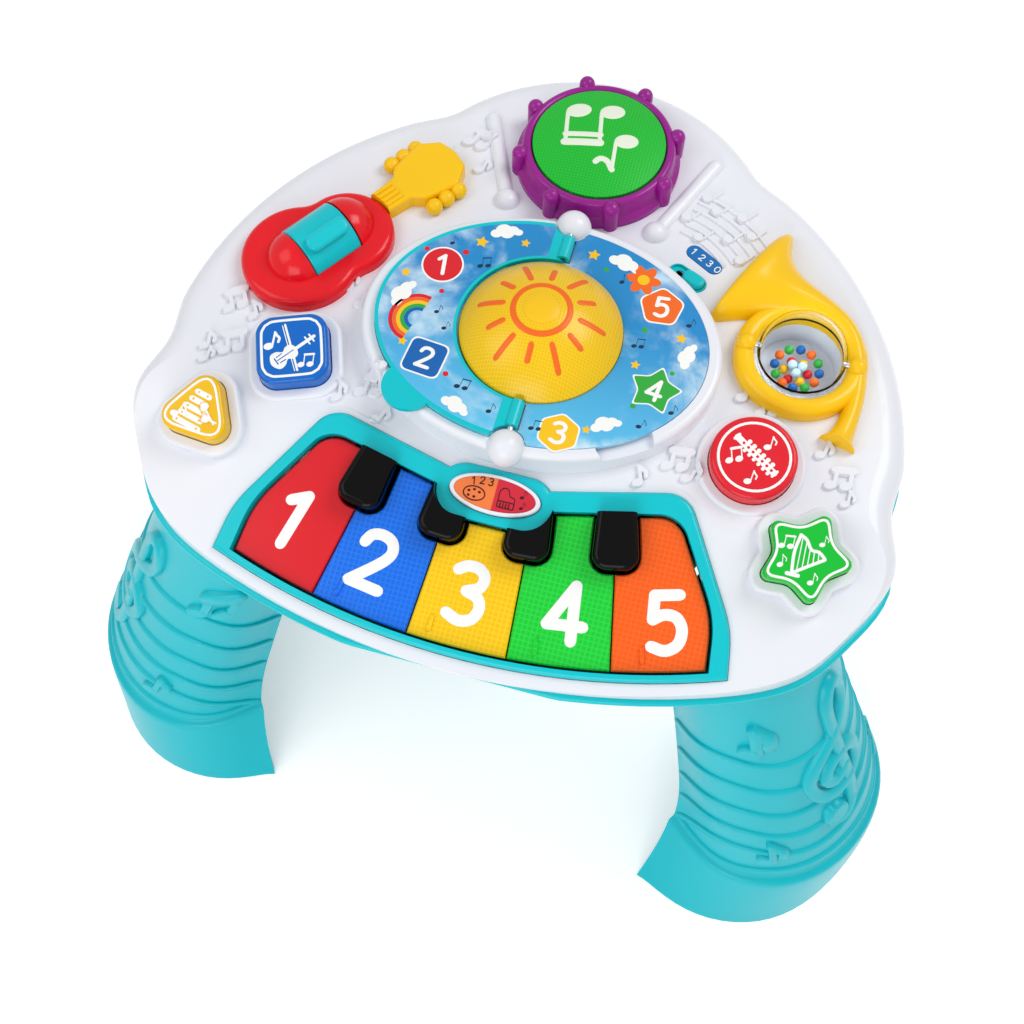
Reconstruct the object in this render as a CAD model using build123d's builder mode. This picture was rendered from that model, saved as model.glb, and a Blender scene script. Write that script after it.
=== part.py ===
from build123d import *
import os
from math import cos, radians, sin, sqrt, tan

os.makedirs("parts", exist_ok=True)

# Musical activity table for a toddler, in millimetres, +Z up.
# The origin is on the floor, under the middle of the rectangle that the feet span.

# ---------------------------------------------------------------- housing
wall = 2.6                  # moulded wall of the housing
fixed_gap = 0.3             # between separate pieces that do not move
running_gap = 0.4           # round a cap that slides in its well
pin_gap = 0.06              # radial clearance of a pin in its bore
deck_height = 255.0         # flat part of the deck, over the floor
deck_fillet = 14.0          # rolled edge of the deck
split_height = 226.0        # joint of the two housing shells
lip_height = 4.0            # flange of the base shell
tray_bottom = 206.0         # underside of the base shell
tray_inset = 5.0            # tray wall, inside the flange
tray_fillet = 8.0           # rolled lower edge of the tray
lip_inset = 1.2             # the base flange stands back under the top shell

body_radius = 185.0         # round middle of the outline
lobe_radius = 104.5         # rear lobe that carries the drum
lobe_setback = 103.0        # its centre, behind the table's middle
front_radius = 364.2        # shallow curve of the front edge
front_edge = 133.4          # front edge, before the table's middle
front_span = 112.0          # half-width of that curve
shoulder_reach = 188.0      # widest place of the front shoulders
shoulder_setback = 36.0     # how far it lies before the middle

# ---------------------------------------------------------------- keyboard
slope = 15.0                # the keyboard tilts to the player
bed_front = 128.0           # where the sloping plane meets bed_height
bed_height = 229.0
fan_radius = 362.0          # front ends of the keys, about the fan's centre
fan_setback = 367.5         # the fan's centre on the sloping plane
key_pitch = 7.63            # degrees from key to key
key_gap = 0.7               # half of the slot between two keys
key_depth = 8.0             # skirt of a key
key_wall = 1.8
key_edge = 0.7              # broken edge of a key's top
frame_rise = 3.0            # the border stands over the keys
frame_depth = 3.0           # and reaches under their tops
frame_roll = 2.4            # its rolled outer edge
strip_width = 3.6           # border in front of the keys
front_window = 20.0         # the deck stays open this far up the slope
rod_radius = 1.5
rod_setback = 90.0          # hinge rod on the sloping plane
rod_depth = 12.0            # hinge rod under the sloping plane
rod_half = 97.0
key_travel = 2.2            # degrees
tongue_width = 12.0
black_rise = 10.0
black_front = 316.0         # fan radius of a black key's front end
black_half_front = 11.3
black_half_rear = 8.0

# ---------------------------------------------------------------- legs
leg_turns = {"leg_front_right": -27.0, "leg_rear": 90.0, "leg_front_left": 207.0}
leg_wall = 3.0
leg_top = 216.0             # top plate of a leg, in its socket
brim_height = 47.0          # crease between the wall and the foot's brim

# height: inner edge, its half-width, half-width past it, nose half-width, nose reach
foot_sections = {
    0.0: (174.5, 89.0, 85.0, 58.0, 263.0),
    22.0: (174.0, 72.0, 74.0, 50.0, 260.5),
    47.0: (172.0, 62.0, 67.0, 44.0, 258.0),
}
wall_sections = {
    47.0: (171.0, 57.0, 62.0, 41.0, 254.0),
    92.0: (157.0, 44.0, 54.0, 37.0, 236.5),
    140.0: (139.0, 35.0, 47.0, 32.0, 215.0),
    216.0: (114.0, 28.5, 41.0, 28.0, 181.5),
}
peg_radius = 4.0
peg_reach = 138.0
peg_half = 14.0
peg_height = 5.0


def leg_outline(edge, edge_half, side_half, nose_half, nose, grow=0.0, open_side=0.0):
    """One level section of a leg, open towards the table's middle."""
    depth = nose - edge
    with BuildSketch() as section:
        with BuildLine():
            side = [
                (edge - open_side, edge_half + grow),
                (edge + 0.42 * depth, side_half + grow),
                (edge + 0.84 * depth, nose_half + grow * 0.9),
                (nose + grow, 0),
            ]
            mirrored = [(x, -y) for x, y in reversed(side[:-1])]
            Spline(*side, *mirrored)
            Line(mirrored[-1], side[0])
        make_face()
    return section.sketch


# The feet span a rectangle on the floor; its middle is the origin.
foot_faces = [Rot(0, 0, turn) * leg_outline(*foot_sections[0.0]) for turn in leg_turns.values()]
front_reach = -min(face.bounding_box().min.Y for face in foot_faces)
rear_reach = max(face.bounding_box().max.Y for face in foot_faces)
middle_y = (front_reach - rear_reach) / 2
table = Plane((0, middle_y, 0))
bed = Plane(
    (0, middle_y - bed_front, bed_height),
    x_dir=(1, 0, 0),
    z_dir=(0, -sin(radians(slope)), cos(radians(slope))),
)
side_plane = Plane((0, middle_y, 0), x_dir=(0, 1, 0), z_dir=(1, 0, 0))


def spot(x, y, height=0.0, turn=0.0, tilt=0.0):
    """A plane at a place of the table, tilted to the player, then turned about its normal."""
    normal = Vector(0, -sin(radians(tilt)), cos(radians(tilt)))
    uphill = Vector(0, cos(radians(tilt)), sin(radians(tilt)))
    along = Vector(1, 0, 0) * cos(radians(turn)) + uphill * sin(radians(turn))
    return Plane((x, middle_y + y, height), x_dir=along, z_dir=normal)


def save(piece, name):
    piece.part.label = name
    export_step(piece.part, f"parts/{name}.step")


# ---------------------------------------------------------------- table outline
def arc_end(centre_y, radius, angle):
    return (radius * cos(radians(angle)), centre_y + radius * sin(radians(angle)))


lobe_end = 38.0             # degrees, where the rear lobe turns into its notch
body_start = 56.0
body_end = 6.0
front_centre = front_radius - front_edge
# places on the front shoulder, each with the way that the edge faces there
shoulder = [
    (shoulder_reach - 5.5, -11.0, 15.0),
    (shoulder_reach, -shoulder_setback, -1.0),
    (shoulder_reach - 13.0, -shoulder_setback - 33.0, -40.0),
]


def outline_face(inset=0.0):
    """The table's outline, moved in by a distance."""
    span = front_span * (front_radius - inset) / front_radius
    reach = front_radius - inset
    side = [(x - inset * cos(radians(a)), y - inset * sin(radians(a))) for x, y, a in shoulder]
    with BuildSketch() as face:
        with BuildLine():
            rear = CenterArc((0, lobe_setback), lobe_radius - inset, lobe_end, 90 - lobe_end)
            body = CenterArc((0, 0), body_radius - inset, body_end, body_start - body_end)
            front = ThreePointArc(
                (span, front_centre - sqrt(reach**2 - span**2)),
                (span / 2, front_centre - sqrt(reach**2 - (span / 2) ** 2)),
                (0, front_centre - reach),
            )
            Spline(
                rear @ 0,
                body @ 1,
                tangents=[
                    (sin(radians(lobe_end)), -cos(radians(lobe_end))),
                    (sin(radians(body_start)), -cos(radians(body_start))),
                ],
            )
            Spline(
                body @ 0,
                *side,
                front @ 0,
                tangents=[(sin(radians(body_end)), -cos(radians(body_end))), front % 0],
            )
            mirror(about=Plane.YZ)
        make_face()
    return face.sketch


# ---------------------------------------------------------------- keyboard outlines
# They lie on the sloping plane, with y up the slope.
frame_side = [(124, 22), (120.5, 45), (87, 102), (24, 87)]
bay_side = [(115, 23), (112, 48), (86, 91), (20, 76)]
side_roll = 50.0            # rounding half-way up the side
rear_roll = 14.0            # rounding of the rear corner
surround_centre = 78.0
surround_size = (56.0, 26.4)


def fan_face(side, radius, grow=0.0):
    """A keyboard outline: a fan-shaped front, two bent sides and a dipped rear."""
    corner_x = side[0][0]
    corner = (corner_x, fan_setback - sqrt(radius**2 - corner_x**2))
    with BuildSketch() as face:
        with BuildLine():
            Polyline(corner, *side[1:], (0, side[-1][1]))
            ThreePointArc(
                corner,
                (corner_x / 2, fan_setback - sqrt(radius**2 - (corner_x / 2) ** 2)),
                (0, fan_setback - radius),
            )
            mirror(about=Plane.YZ)
        make_face()
        fillet(face.vertices().filter_by(lambda v: abs(v.Y - side[1][1]) < 0.1), side_roll)
        fillet(face.vertices().group_by(Axis.Y)[-1], rear_roll)
        if grow:
            offset(amount=grow)
    return face.sketch


frame_radius = fan_radius + 1.0 + strip_width
bay_radius = fan_radius + 1.0


def surround_face(grow=0.0):
    """The long round field that carries the mode button."""
    with BuildSketch() as face:
        with Locations((0, surround_centre)):
            SlotOverall(surround_size[0] + 2 * grow, surround_size[1] + 2 * grow)
    return face.sketch


def frame_face(grow=0.0):
    """The frame's outline with the mode button's field."""
    with BuildSketch() as face:
        add(fan_face(frame_side, frame_radius, grow))
        add(surround_face(grow))
    return face.sketch


def bay_face(grow=0.0):
    """The opening in the frame that shows the keys."""
    with BuildSketch() as face:
        add(fan_face(bay_side, bay_radius, grow))
        add(surround_face(-grow), mode=Mode.SUBTRACT)
    return face.sketch


# ---------------------------------------------------------------- legs
def leg_solid(sections, turn, grow=0.0, open_side=0.0, drop=0.0, lift=0.0):
    """A lofted leg stretch; grow moves its sides, drop and lift lengthen it."""
    heights = sorted(sections)
    with BuildPart() as stretch:
        for height in heights:
            extra = drop if height == heights[0] else 0.0
            raised = lift if height == heights[-1] else 0.0
            level = Plane((0, middle_y, height - extra + raised)).rotated((0, 0, turn))
            with BuildSketch(level):
                add(leg_outline(*sections[height], grow=grow, open_side=open_side))
        loft()
    return stretch.part


for name, turn in leg_turns.items():
    with BuildPart() as leg:
        add(leg_solid(foot_sections, turn))
        add(leg_solid(wall_sections, turn))
        add(leg_solid(foot_sections, turn, -leg_wall, 30, 0.5, -leg_wall), mode=Mode.SUBTRACT)
        add(leg_solid(wall_sections, turn, -leg_wall, 30, leg_wall + 0.5, -leg_wall), mode=Mode.SUBTRACT)
        with BuildSketch(Plane((0, middle_y, leg_top)).rotated((0, 0, turn))):
            with Locations((peg_reach, -peg_half), (peg_reach, peg_half)):
                Circle(peg_radius)
        extrude(amount=peg_height)
    save(leg, name)

# ---------------------------------------------------------------- battery bay
cell_radius = 7.1
cell_length = 50.0
cell_pitch = 15.0
cell_count = 3
battery_middle = (0.0, 12.0)
bay_wall = 2.0
contact_depth = 3.0         # room for a spring plate at each end
door_wall = 2.4
door_lap = 4.0              # the door laps past the bay
bay_length = cell_length + 2 * contact_depth
bay_width = cell_count * cell_pitch + 1.0
bay_height = 2 * cell_radius + 1.4
ear_radius = 6.5            # ear of the door, with its screw
ear_middle = (bay_length / 2 + door_lap + 3.5, battery_middle[1])
ear_grip = 12.0

# ---------------------------------------------------------------- fasteners
boss_radius = 4.0
screw_radius = 1.5
screw_head = 3.0
screw_length = 30.0
screw_grip = 12.0           # thread in the upper boss
screw_places = [(159, 6), (-159, 6), (97, 121), (-97, 121), (63, -29), (-63, -29)]

# ---------------------------------------------------------------- buttons
button_travel = 3.0
pod_margin = 5.5            # white border round a button
pod_rise = 5.0              # over the deck
well_depth = 12.0           # guide under the pod's top
button_proud = 9.0          # cap over the pod
flange_lap = 2.2
flange_wall = 2.0
dome_height = 7.0           # rubber dome under a button
dome_radius = 6.0
post_radius = 7.5


def square_face():
    with BuildSketch() as face:
        RectangleRounded(35, 35, 9)
    return face.sketch


def circle_face():
    with BuildSketch() as face:
        Circle(20.3)
    return face.sketch


def triangle_face():
    with BuildSketch() as face:
        RegularPolygon(25.5, 3)
        fillet(face.vertices(), 8)
    return face.sketch


def star_face():
    tip = 23.5
    dent = 14.0
    with BuildSketch() as face:
        with BuildLine():
            points = []
            for k in range(10):
                reach = tip if k % 2 == 0 else dent
                points.append((reach * cos(radians(36 * k)), reach * sin(radians(36 * k))))
            Polyline(*points, close=True)
        make_face()
        corners = face.vertices().sort_by(lambda v: Vector(v.X, v.Y).length)
        fillet(corners[5:], 3.4)
        dents = face.vertices().sort_by(lambda v: Vector(v.X, v.Y).length)
        fillet(dents[:5], 8.0)
    return face.sketch


# name: face, place of its middle, height of the pod's top, turn, tilt
buttons = {
    "button_square": (square_face(), spot(-113, -9, deck_height + 4, 20, 8)),
    "button_circle": (circle_face(), spot(112, -8, deck_height + 4, 0, 8)),
    "button_triangle": (triangle_face(), spot(-146, -50, deck_height + 1, 85, slope)),
    "button_star": (star_face(), spot(144, -48, deck_height + 1, 2, slope)),
}

# ---------------------------------------------------------------- dial
dial_middle = 29.5
dial_half = (81.5, 61.7)
ring_half = (88.5, 67.0)
ring_top = 268.2
plate_wall = 2.3
plate_top = ring_top + 0.4
page_wall = 2.3
page_gap = 0.3
sun_radius = 39.5
sun_rise = 20.0
sun_base = 270.0
sun_flange = 3.0
sun_wall = 2.2
barrel_radius = 3.2
pin_radius = 1.6
hub_radius = 9.0
hub_reach = (-34.5, 94.0)
barrel_spans = ((-25.0, -11.5), (71.5, 84.5))
tab_radius = 13.0
tab_place = (52.0, -17.0)
page_axis = plate_top + page_gap + page_wall / 2

# ---------------------------------------------------------------- drum
drum_middle = 147.0
drum_radius = 43.0
drum_top_radius = 39.5
drum_bore = 34.8
drum_height = 15.0
pad_rise = 3.5
lug_radius = 4.2
lug_count = 8
drum_hole = 24.0
pad_travel = 2.0

# ---------------------------------------------------------------- guitar
guitar_turn = 56.0
guitar = spot(-121, 55, deck_height, guitar_turn)
lower_bout = (-12.0, 1.6, 30.0)
upper_bout = (14.0, -1.9, 24.5)
body_rise = 8.0
roller_radius = 16.5
roller_half = 14.0
roller_rise = 3.0           # roller axis over the deck
roller_place = (0.5, 1.0)
roller_gap = 0.5
trough_wall = 2.0
axle_radius = 1.5
cap_gap = 0.5
strum_range = 30.0
axle_grip = 6.0             # axle in each end cap
paddle_turn = 25.0
paddle_wall = 9.0
paddle_rise = 6.0
neck_start = 30.0
neck_half = 6.5
neck_rise = 8.5
head_start = 52.0
head_end = 86.0
head_half = 17.0
peg_ball = 4.4

# ---------------------------------------------------------------- horn and rattle
rattle = (124.0, 54.0)
rattle_radius = 21.6
rattle_rise = 7.5
rattle_wall = 1.6
ring_radius = 27.6          # horn ring, to the middle of its tube
tube_radius = 5.0
ball_well_gap = 0.8
bead_radius = 2.6

# ---------------------------------------------------------------- switch and speaker
switch = spot(61, 88, deck_height, -25)
slot_size = (21.0, 9.6)
knob_size = (12.0, 7.6)
knob_offset = 3.4
switch_stroke = 6.8
label_plane = spot(67, 101, deck_height, -30)
label_size = (21.0, 8.0)
speaker_place = (73.0, 120.0)
speaker_radius = 20.0
slot_width = 1.6
slot_rows = 5
slot_pitch = 5.2
slot_bend = 60.0
slot_half_turn = 14.0
bezel_seat = 1.4
label_seat = 0.8

# ---------------------------------------------------------------- moulded drumsticks
stick_ball = (39.4, 110.6)
stick_end = (60.5, 160.0)
stick_ball_radius = 6.8
stick_radius = 4.2

# ---------------------------------------------------------------- housing forms
slope_meets = -bed_front + (deck_height - bed_height) / tan(radians(slope))
blend = 12.0                # length of the soft bend from the deck into the slope
key_board_depth = 16.0      # board under the keys, from the sloping plane
board_wall = 1.6
strip_fan = (331.0, 351.0)  # the key board is a strip of the fan
strip_turn = 17.6
board_post_turns = (-12.0, -4.0, 4.0, 12.0)
main_board = (-72.0, 84.0)
board_size = (62.0, 44.0)
board_height = tray_bottom + wall + 6.0
post_small = 3.0            # posts that carry the boards
ball_height = deck_height + rattle_rise


def fan_point(radius, angle):
    """A point of the sloping plane at a radius and angle of the fan."""
    return (radius * sin(radians(angle)), fan_setback - radius * cos(radians(angle)))


mode_plane = Plane(
    bed.from_local_coords((0, surround_centre + 0.6, frame_rise)),
    x_dir=bed.x_dir,
    z_dir=bed.z_dir,
)
mode_half = (22.0, 9.4)
mode_proud = 2.2
mode_travel = 1.5
mode_label_half = (19.6, 7.6)
mode_depth = 8.0
mode_hole = (15.0, 6.0)
mode_hook = (2.5, 1.6)      # the hooks under the frame stand out this far
mode_dome_reach = 10.5
mode_dome_radius = 3.4


def deck_block(inset, bottom):
    """The housing's upper form, inset on every side."""
    top = deck_height - inset
    run = blend * cos(radians(slope))
    fall = blend * sin(radians(slope))
    low_y = -front_edge - 20.0
    low_z = top + (low_y - slope_meets) * tan(radians(slope))
    with BuildPart() as block:
        with BuildSketch(table.offset(bottom)):
            add(outline_face(inset))
        extrude(amount=top - bottom)
        fillet(block.faces().sort_by(Axis.Z)[-1].edges(), deck_fillet - inset)
        with BuildSketch(side_plane):
            with BuildLine():
                flat = Line((slope_meets + 60, top), (slope_meets + blend, top))
                bend = TangentArc(
                    flat @ 1, (slope_meets - run, top - fall), tangent=(-1, 0)
                )
                Polyline(
                    bend @ 1, (low_y, low_z), (low_y, top + 30),
                    (slope_meets + 60, top + 30), flat @ 0,
                )
            make_face()
        extrude(amount=2 * body_radius, both=True, mode=Mode.SUBTRACT)
    return block.part


# ---------------------------------------------------------------- base shell
with BuildPart() as tray_hollow:
    with BuildSketch(table.offset(tray_bottom + wall)):
        add(outline_face(tray_inset + wall))
    extrude(amount=split_height - tray_bottom)
    fillet(tray_hollow.faces().sort_by(Axis.Z)[0].edges(), tray_fillet - wall)

socket_roof = leg_top + fixed_gap + wall
with BuildPart() as base_shell:
    with BuildSketch(table.offset(tray_bottom)):
        add(outline_face(tray_inset))
    extrude(amount=split_height - tray_bottom)
    fillet(base_shell.faces().sort_by(Axis.Z)[0].edges(), tray_fillet)
    with BuildSketch(table.offset(split_height - lip_height)):
        add(outline_face(lip_inset))
    extrude(amount=lip_height)
    # collars under the flange carry on the legs' outer faces
    for turn in leg_turns.values():
        with BuildSketch(table.offset(leg_top + fixed_gap)):
            add(Rot(0, 0, turn) * leg_outline(*wall_sections[leg_top]))
            add(outline_face(lip_inset), mode=Mode.INTERSECT)
        extrude(amount=split_height - lip_height - leg_top - fixed_gap)
    add(tray_hollow.part, mode=Mode.SUBTRACT)

    # posts for the button domes, run down along each button's axis
    for face, plane in buttons.values():
        with BuildSketch(plane.offset(-well_depth - flange_wall - fixed_gap - dome_height)):
            Circle(post_radius)
        extrude(amount=-deck_height + tray_bottom)
    with BuildSketch(table.offset(tray_bottom)):
        with Locations((0, drum_middle)):
            Circle(post_radius)
    extrude(amount=deck_height - well_depth - dome_height - tray_bottom - flange_wall)

    # posts under the two boards
    with BuildSketch(bed.offset(-key_board_depth - board_wall)):
        with Locations(*[fan_point(sum(strip_fan) / 2, turn) for turn in board_post_turns]):
            Circle(post_small)
    extrude(amount=tray_bottom - deck_height)
    with BuildSketch(spot(*main_board, tray_bottom)):
        with GridLocations(board_size[0] - 4 * post_small, board_size[1] - 4 * post_small, 2, 2):
            Circle(post_small)
    extrude(amount=board_height - tray_bottom)

    # socket walls
    for turn in leg_turns.values():
        with BuildSketch(table.offset(tray_bottom + wall)):
            add(Rot(0, 0, turn) * leg_outline(*wall_sections[leg_top], grow=fixed_gap + wall + 4))
            add(outline_face(tray_inset + wall), mode=Mode.INTERSECT)
        extrude(amount=socket_roof - tray_bottom - wall)
    for turn in leg_turns.values():
        add(leg_solid(wall_sections, turn, fixed_gap, 8, 0, fixed_gap), mode=Mode.SUBTRACT)
        with BuildSketch(Plane((0, middle_y, leg_top)).rotated((0, 0, turn))):
            with Locations((peg_reach, -peg_half), (peg_reach, peg_half)):
                Circle(peg_radius + fixed_gap)
        extrude(amount=2 * peg_height, mode=Mode.SUBTRACT)

    # battery bay with its door seat
    with BuildSketch(table.offset(tray_bottom)):
        with Locations(battery_middle):
            Rectangle(bay_length + 2 * (door_lap + wall), bay_width + 2 * (door_lap + wall))
    extrude(amount=door_wall + wall)
    with BuildSketch(table.offset(tray_bottom)):
        with Locations(battery_middle):
            Rectangle(bay_length + 2 * bay_wall, bay_width + 2 * bay_wall)
    extrude(amount=door_wall + bay_height + bay_wall)
    with BuildSketch(table.offset(tray_bottom)):
        with Locations(battery_middle):
            Rectangle(bay_length, bay_width)
    extrude(amount=door_wall + bay_height, mode=Mode.SUBTRACT)
    with BuildSketch(table.offset(tray_bottom)):
        with Locations(ear_middle):
            Circle(ear_radius + wall)
    extrude(amount=door_wall + wall)
    with BuildSketch(table.offset(tray_bottom)):
        with Locations(ear_middle):
            Circle(boss_radius)
    extrude(amount=door_wall + ear_grip)
    with BuildSketch(table.offset(tray_bottom)):
        with Locations(battery_middle):
            Rectangle(bay_length + 2 * door_lap, bay_width + 2 * door_lap)
        with Locations(ear_middle):
            Circle(ear_radius)
    extrude(amount=door_wall, mode=Mode.SUBTRACT)
    with BuildSketch(table.offset(tray_bottom)):
        with Locations(ear_middle):
            Circle(screw_radius + pin_gap)
    extrude(amount=door_wall + ear_grip - wall, mode=Mode.SUBTRACT)

    # bosses for the housing screws
    with BuildSketch(table.offset(tray_bottom)):
        with Locations(*screw_places):
            Circle(boss_radius)
    extrude(amount=split_height - tray_bottom)
    with BuildSketch(table.offset(tray_bottom)):
        with Locations(*screw_places):
            Circle(screw_radius + pin_gap)
    extrude(amount=split_height - tray_bottom, mode=Mode.SUBTRACT)
    with BuildSketch(table.offset(tray_bottom)):
        with Locations(*screw_places):
            Circle(screw_head + fixed_gap)
    extrude(amount=wall, mode=Mode.SUBTRACT)
    with BuildSketch(table.offset(tray_bottom)):
        Circle(2 * body_radius)
    extrude(amount=-deck_height, mode=Mode.SUBTRACT)
save(base_shell, "base_shell")


# ---------------------------------------------------------------- top shell
def dial_oval(grow):
    with BuildSketch() as face:
        Ellipse(dial_half[0] + grow, dial_half[1] + grow)
    return face.sketch


def raised_block(face, plane, depth, margin, rolled):
    """A block with a rolled top edge, its top on the plane."""
    with BuildPart() as block:
        with BuildSketch(plane):
            add(face)
            if margin:
                offset(amount=margin)
        extrude(amount=depth)
        top = block.faces().sort_by(lambda f: plane.to_local_coords(f.center()).Z)[-1]
        fillet(top.edges(), rolled)
    return block.part


def drumstick(side):
    """A stick with a ball, half sunk in the deck."""
    ball = Vector(side * stick_ball[0], middle_y + stick_ball[1], deck_height - 1.5)
    end = Vector(side * stick_end[0], middle_y + stick_end[1], deck_height - 0.8)
    with BuildPart() as stick:
        with Locations(ball):
            Sphere(stick_ball_radius)
        with BuildSketch(Plane(ball, z_dir=end - ball)):
            Circle(stick_radius)
        extrude(amount=(end - ball).length)
        with Locations(end):
            Sphere(stick_radius)
        with BuildSketch(table.offset(deck_height - wall)):
            Circle(2 * body_radius)
        extrude(amount=-20, mode=Mode.SUBTRACT)
    return stick.part


plate_seat = plate_top - plate_wall
sun_seat = plate_seat - sun_flange
dial_wall = plate_seat - wall
ball_well_floor = ball_height - rattle_radius - ball_well_gap
trough_radius = roller_radius + roller_gap
roller_plane = guitar.offset(roller_rise)
trough_width = 2 * sqrt((trough_radius + trough_wall) ** 2 - roller_rise**2)

with BuildPart() as top_shell:
    add(deck_block(0.0, split_height))
    # thick bed round the keyboard, so that its frame has a ledge
    add(deck_block(wall, split_height - 1), mode=Mode.SUBTRACT)
    with BuildSketch(bed.offset(-frame_depth - wall)):
        add(frame_face(wall))
    extrude(amount=frame_depth + wall)
    with BuildSketch(bed.offset(-frame_depth)):
        add(frame_face(fixed_gap))
    extrude(amount=40, mode=Mode.SUBTRACT)
    with BuildSketch(bed.offset(-40)):
        add(fan_face(bay_side, bay_radius, fixed_gap))
    extrude(amount=80, mode=Mode.SUBTRACT)
    with BuildSketch(bed.offset(-40)):
        add(fan_face(frame_side, frame_radius, fixed_gap))
        with Locations((0, front_window + 50)):
            Rectangle(4 * frame_side[0][0], 100, mode=Mode.SUBTRACT)
    extrude(amount=80, mode=Mode.SUBTRACT)

    with BuildSketch(mode_plane):
        Ellipse(mode_hole[0] + mode_hook[0] + running_gap, mode_hole[1] + mode_hook[1] + running_gap)
    extrude(amount=-30, mode=Mode.SUBTRACT)

    # raised oval ring of the dial
    with BuildSketch(spot(0, dial_middle, deck_height - wall)):
        Ellipse(*ring_half)
    extrude(amount=ring_top - deck_height + wall)
    ring_edges = top_shell.faces().filter_by(Axis.Z).sort_by(Axis.Z)[-1].edges()
    fillet(ring_edges, 3.0)
    for y in hub_reach:
        with Locations((0, middle_y + y, ring_top - 2)):
            Sphere(hub_radius)
    with BuildSketch(spot(0, dial_middle, deck_height - wall)):
        add(dial_oval(2.0))
    extrude(amount=dial_wall - deck_height + wall, mode=Mode.SUBTRACT)
    with BuildSketch(spot(0, dial_middle, plate_seat)):
        add(dial_oval(fixed_gap))
        for y in hub_reach:
            with Locations((0, y - dial_middle)):
                Circle(hub_radius, mode=Mode.SUBTRACT)
    extrude(amount=ring_top, mode=Mode.SUBTRACT)
    with BuildSketch(spot(0, dial_middle, sun_seat - wall)):
        Circle(sun_radius + sun_flange + fixed_gap + wall)
    extrude(amount=wall + sun_flange)
    with BuildSketch(spot(0, dial_middle, sun_seat)):
        Circle(sun_radius + sun_flange + fixed_gap)
    extrude(amount=ring_top, mode=Mode.SUBTRACT)
    with BuildSketch(spot(0, dial_middle, sun_seat - wall)):
        Circle(sun_radius - sun_flange)
    extrude(amount=ring_top, mode=Mode.SUBTRACT)
    with BuildSketch(spot(*tab_place, page_axis)):
        Circle(tab_radius + 1)
    extrude(amount=-page_wall - page_gap - 3.0, mode=Mode.SUBTRACT)

    with BuildSketch(Plane((0, middle_y + hub_reach[0], page_axis), z_dir=(0, 1, 0))):
        Circle(pin_radius + pin_gap)
    extrude(amount=hub_reach[1] - hub_reach[0], mode=Mode.SUBTRACT)

    # button pods, each with a guide down into the housing
    for face, plane in buttons.values():
        add(raised_block(face, plane, -well_depth, pod_margin, 2.0))
    for face, plane in buttons.values():
        with BuildSketch(plane.offset(5)):
            add(face)
            offset(amount=running_gap)
        extrude(amount=-well_depth - 10, mode=Mode.SUBTRACT)

    # moulded drumsticks beside the drum
    for side in (-1, 1):
        add(drumstick(side))

    # drum seat, with a hole for the pad's stem and its hooks
    with BuildSketch(spot(0, drum_middle, deck_height)):
        Circle(drum_hole)
    extrude(amount=-2 * wall, mode=Mode.SUBTRACT)

    # guitar: a window for the roller's trough
    with BuildSketch(guitar):
        with Locations(roller_place):
            Rectangle(2 * (roller_half + cap_gap + trough_wall + fixed_gap), trough_width + 2 * fixed_gap)
    extrude(amount=-2 * wall, mode=Mode.SUBTRACT)

    # rattle: a round cup under the ball
    with BuildSketch(spot(*rattle, deck_height)):
        Circle(rattle_radius + ball_well_gap + wall)
    extrude(amount=ball_well_floor - wall - deck_height)
    with BuildSketch(spot(*rattle, deck_height + 5)):
        Circle(rattle_radius + ball_well_gap)
    extrude(amount=ball_well_floor - deck_height - 5, mode=Mode.SUBTRACT)

    # slide switch: a shallow seat and a slot through
    with BuildSketch(switch):
        SlotOverall(slot_size[0] + 2 * fixed_gap, slot_size[1] + 2 * fixed_gap)
    extrude(amount=-bezel_seat, mode=Mode.SUBTRACT)
    with BuildSketch(switch):
        SlotOverall(slot_size[0] - 4, slot_size[1] - 5)
    extrude(amount=-2 * wall, mode=Mode.SUBTRACT)
    with BuildSketch(label_plane):
        SlotOverall(label_size[0] + 2 * fixed_gap, label_size[1] + 2 * fixed_gap)
    extrude(amount=-label_seat, mode=Mode.SUBTRACT)

    # speaker slots, five bent lines of sound holes
    for row in range(slot_rows):
        with BuildSketch(spot(*speaker_place, deck_height, -32)):
            with Locations((0, (row - (slot_rows - 1) / 2) * slot_pitch)):
                SlotArc(CenterArc((0, -slot_bend), slot_bend, 90 - slot_half_turn, 2 * slot_half_turn), slot_width)
        extrude(amount=-2 * wall, mode=Mode.SUBTRACT)

    # bosses that take the housing screws
    with BuildSketch(table.offset(split_height)):
        with Locations(*screw_places):
            Circle(boss_radius)
    extrude(amount=deck_height - wall / 2 - split_height)
    with BuildSketch(table.offset(split_height)):
        with Locations(*screw_places):
            Circle(screw_radius + pin_gap)
    extrude(amount=screw_grip + 2, mode=Mode.SUBTRACT)
    with BuildSketch(table.offset(split_height)):
        Circle(2 * body_radius)
    extrude(amount=-deck_height, mode=Mode.SUBTRACT)
save(top_shell, "top_shell")


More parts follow.
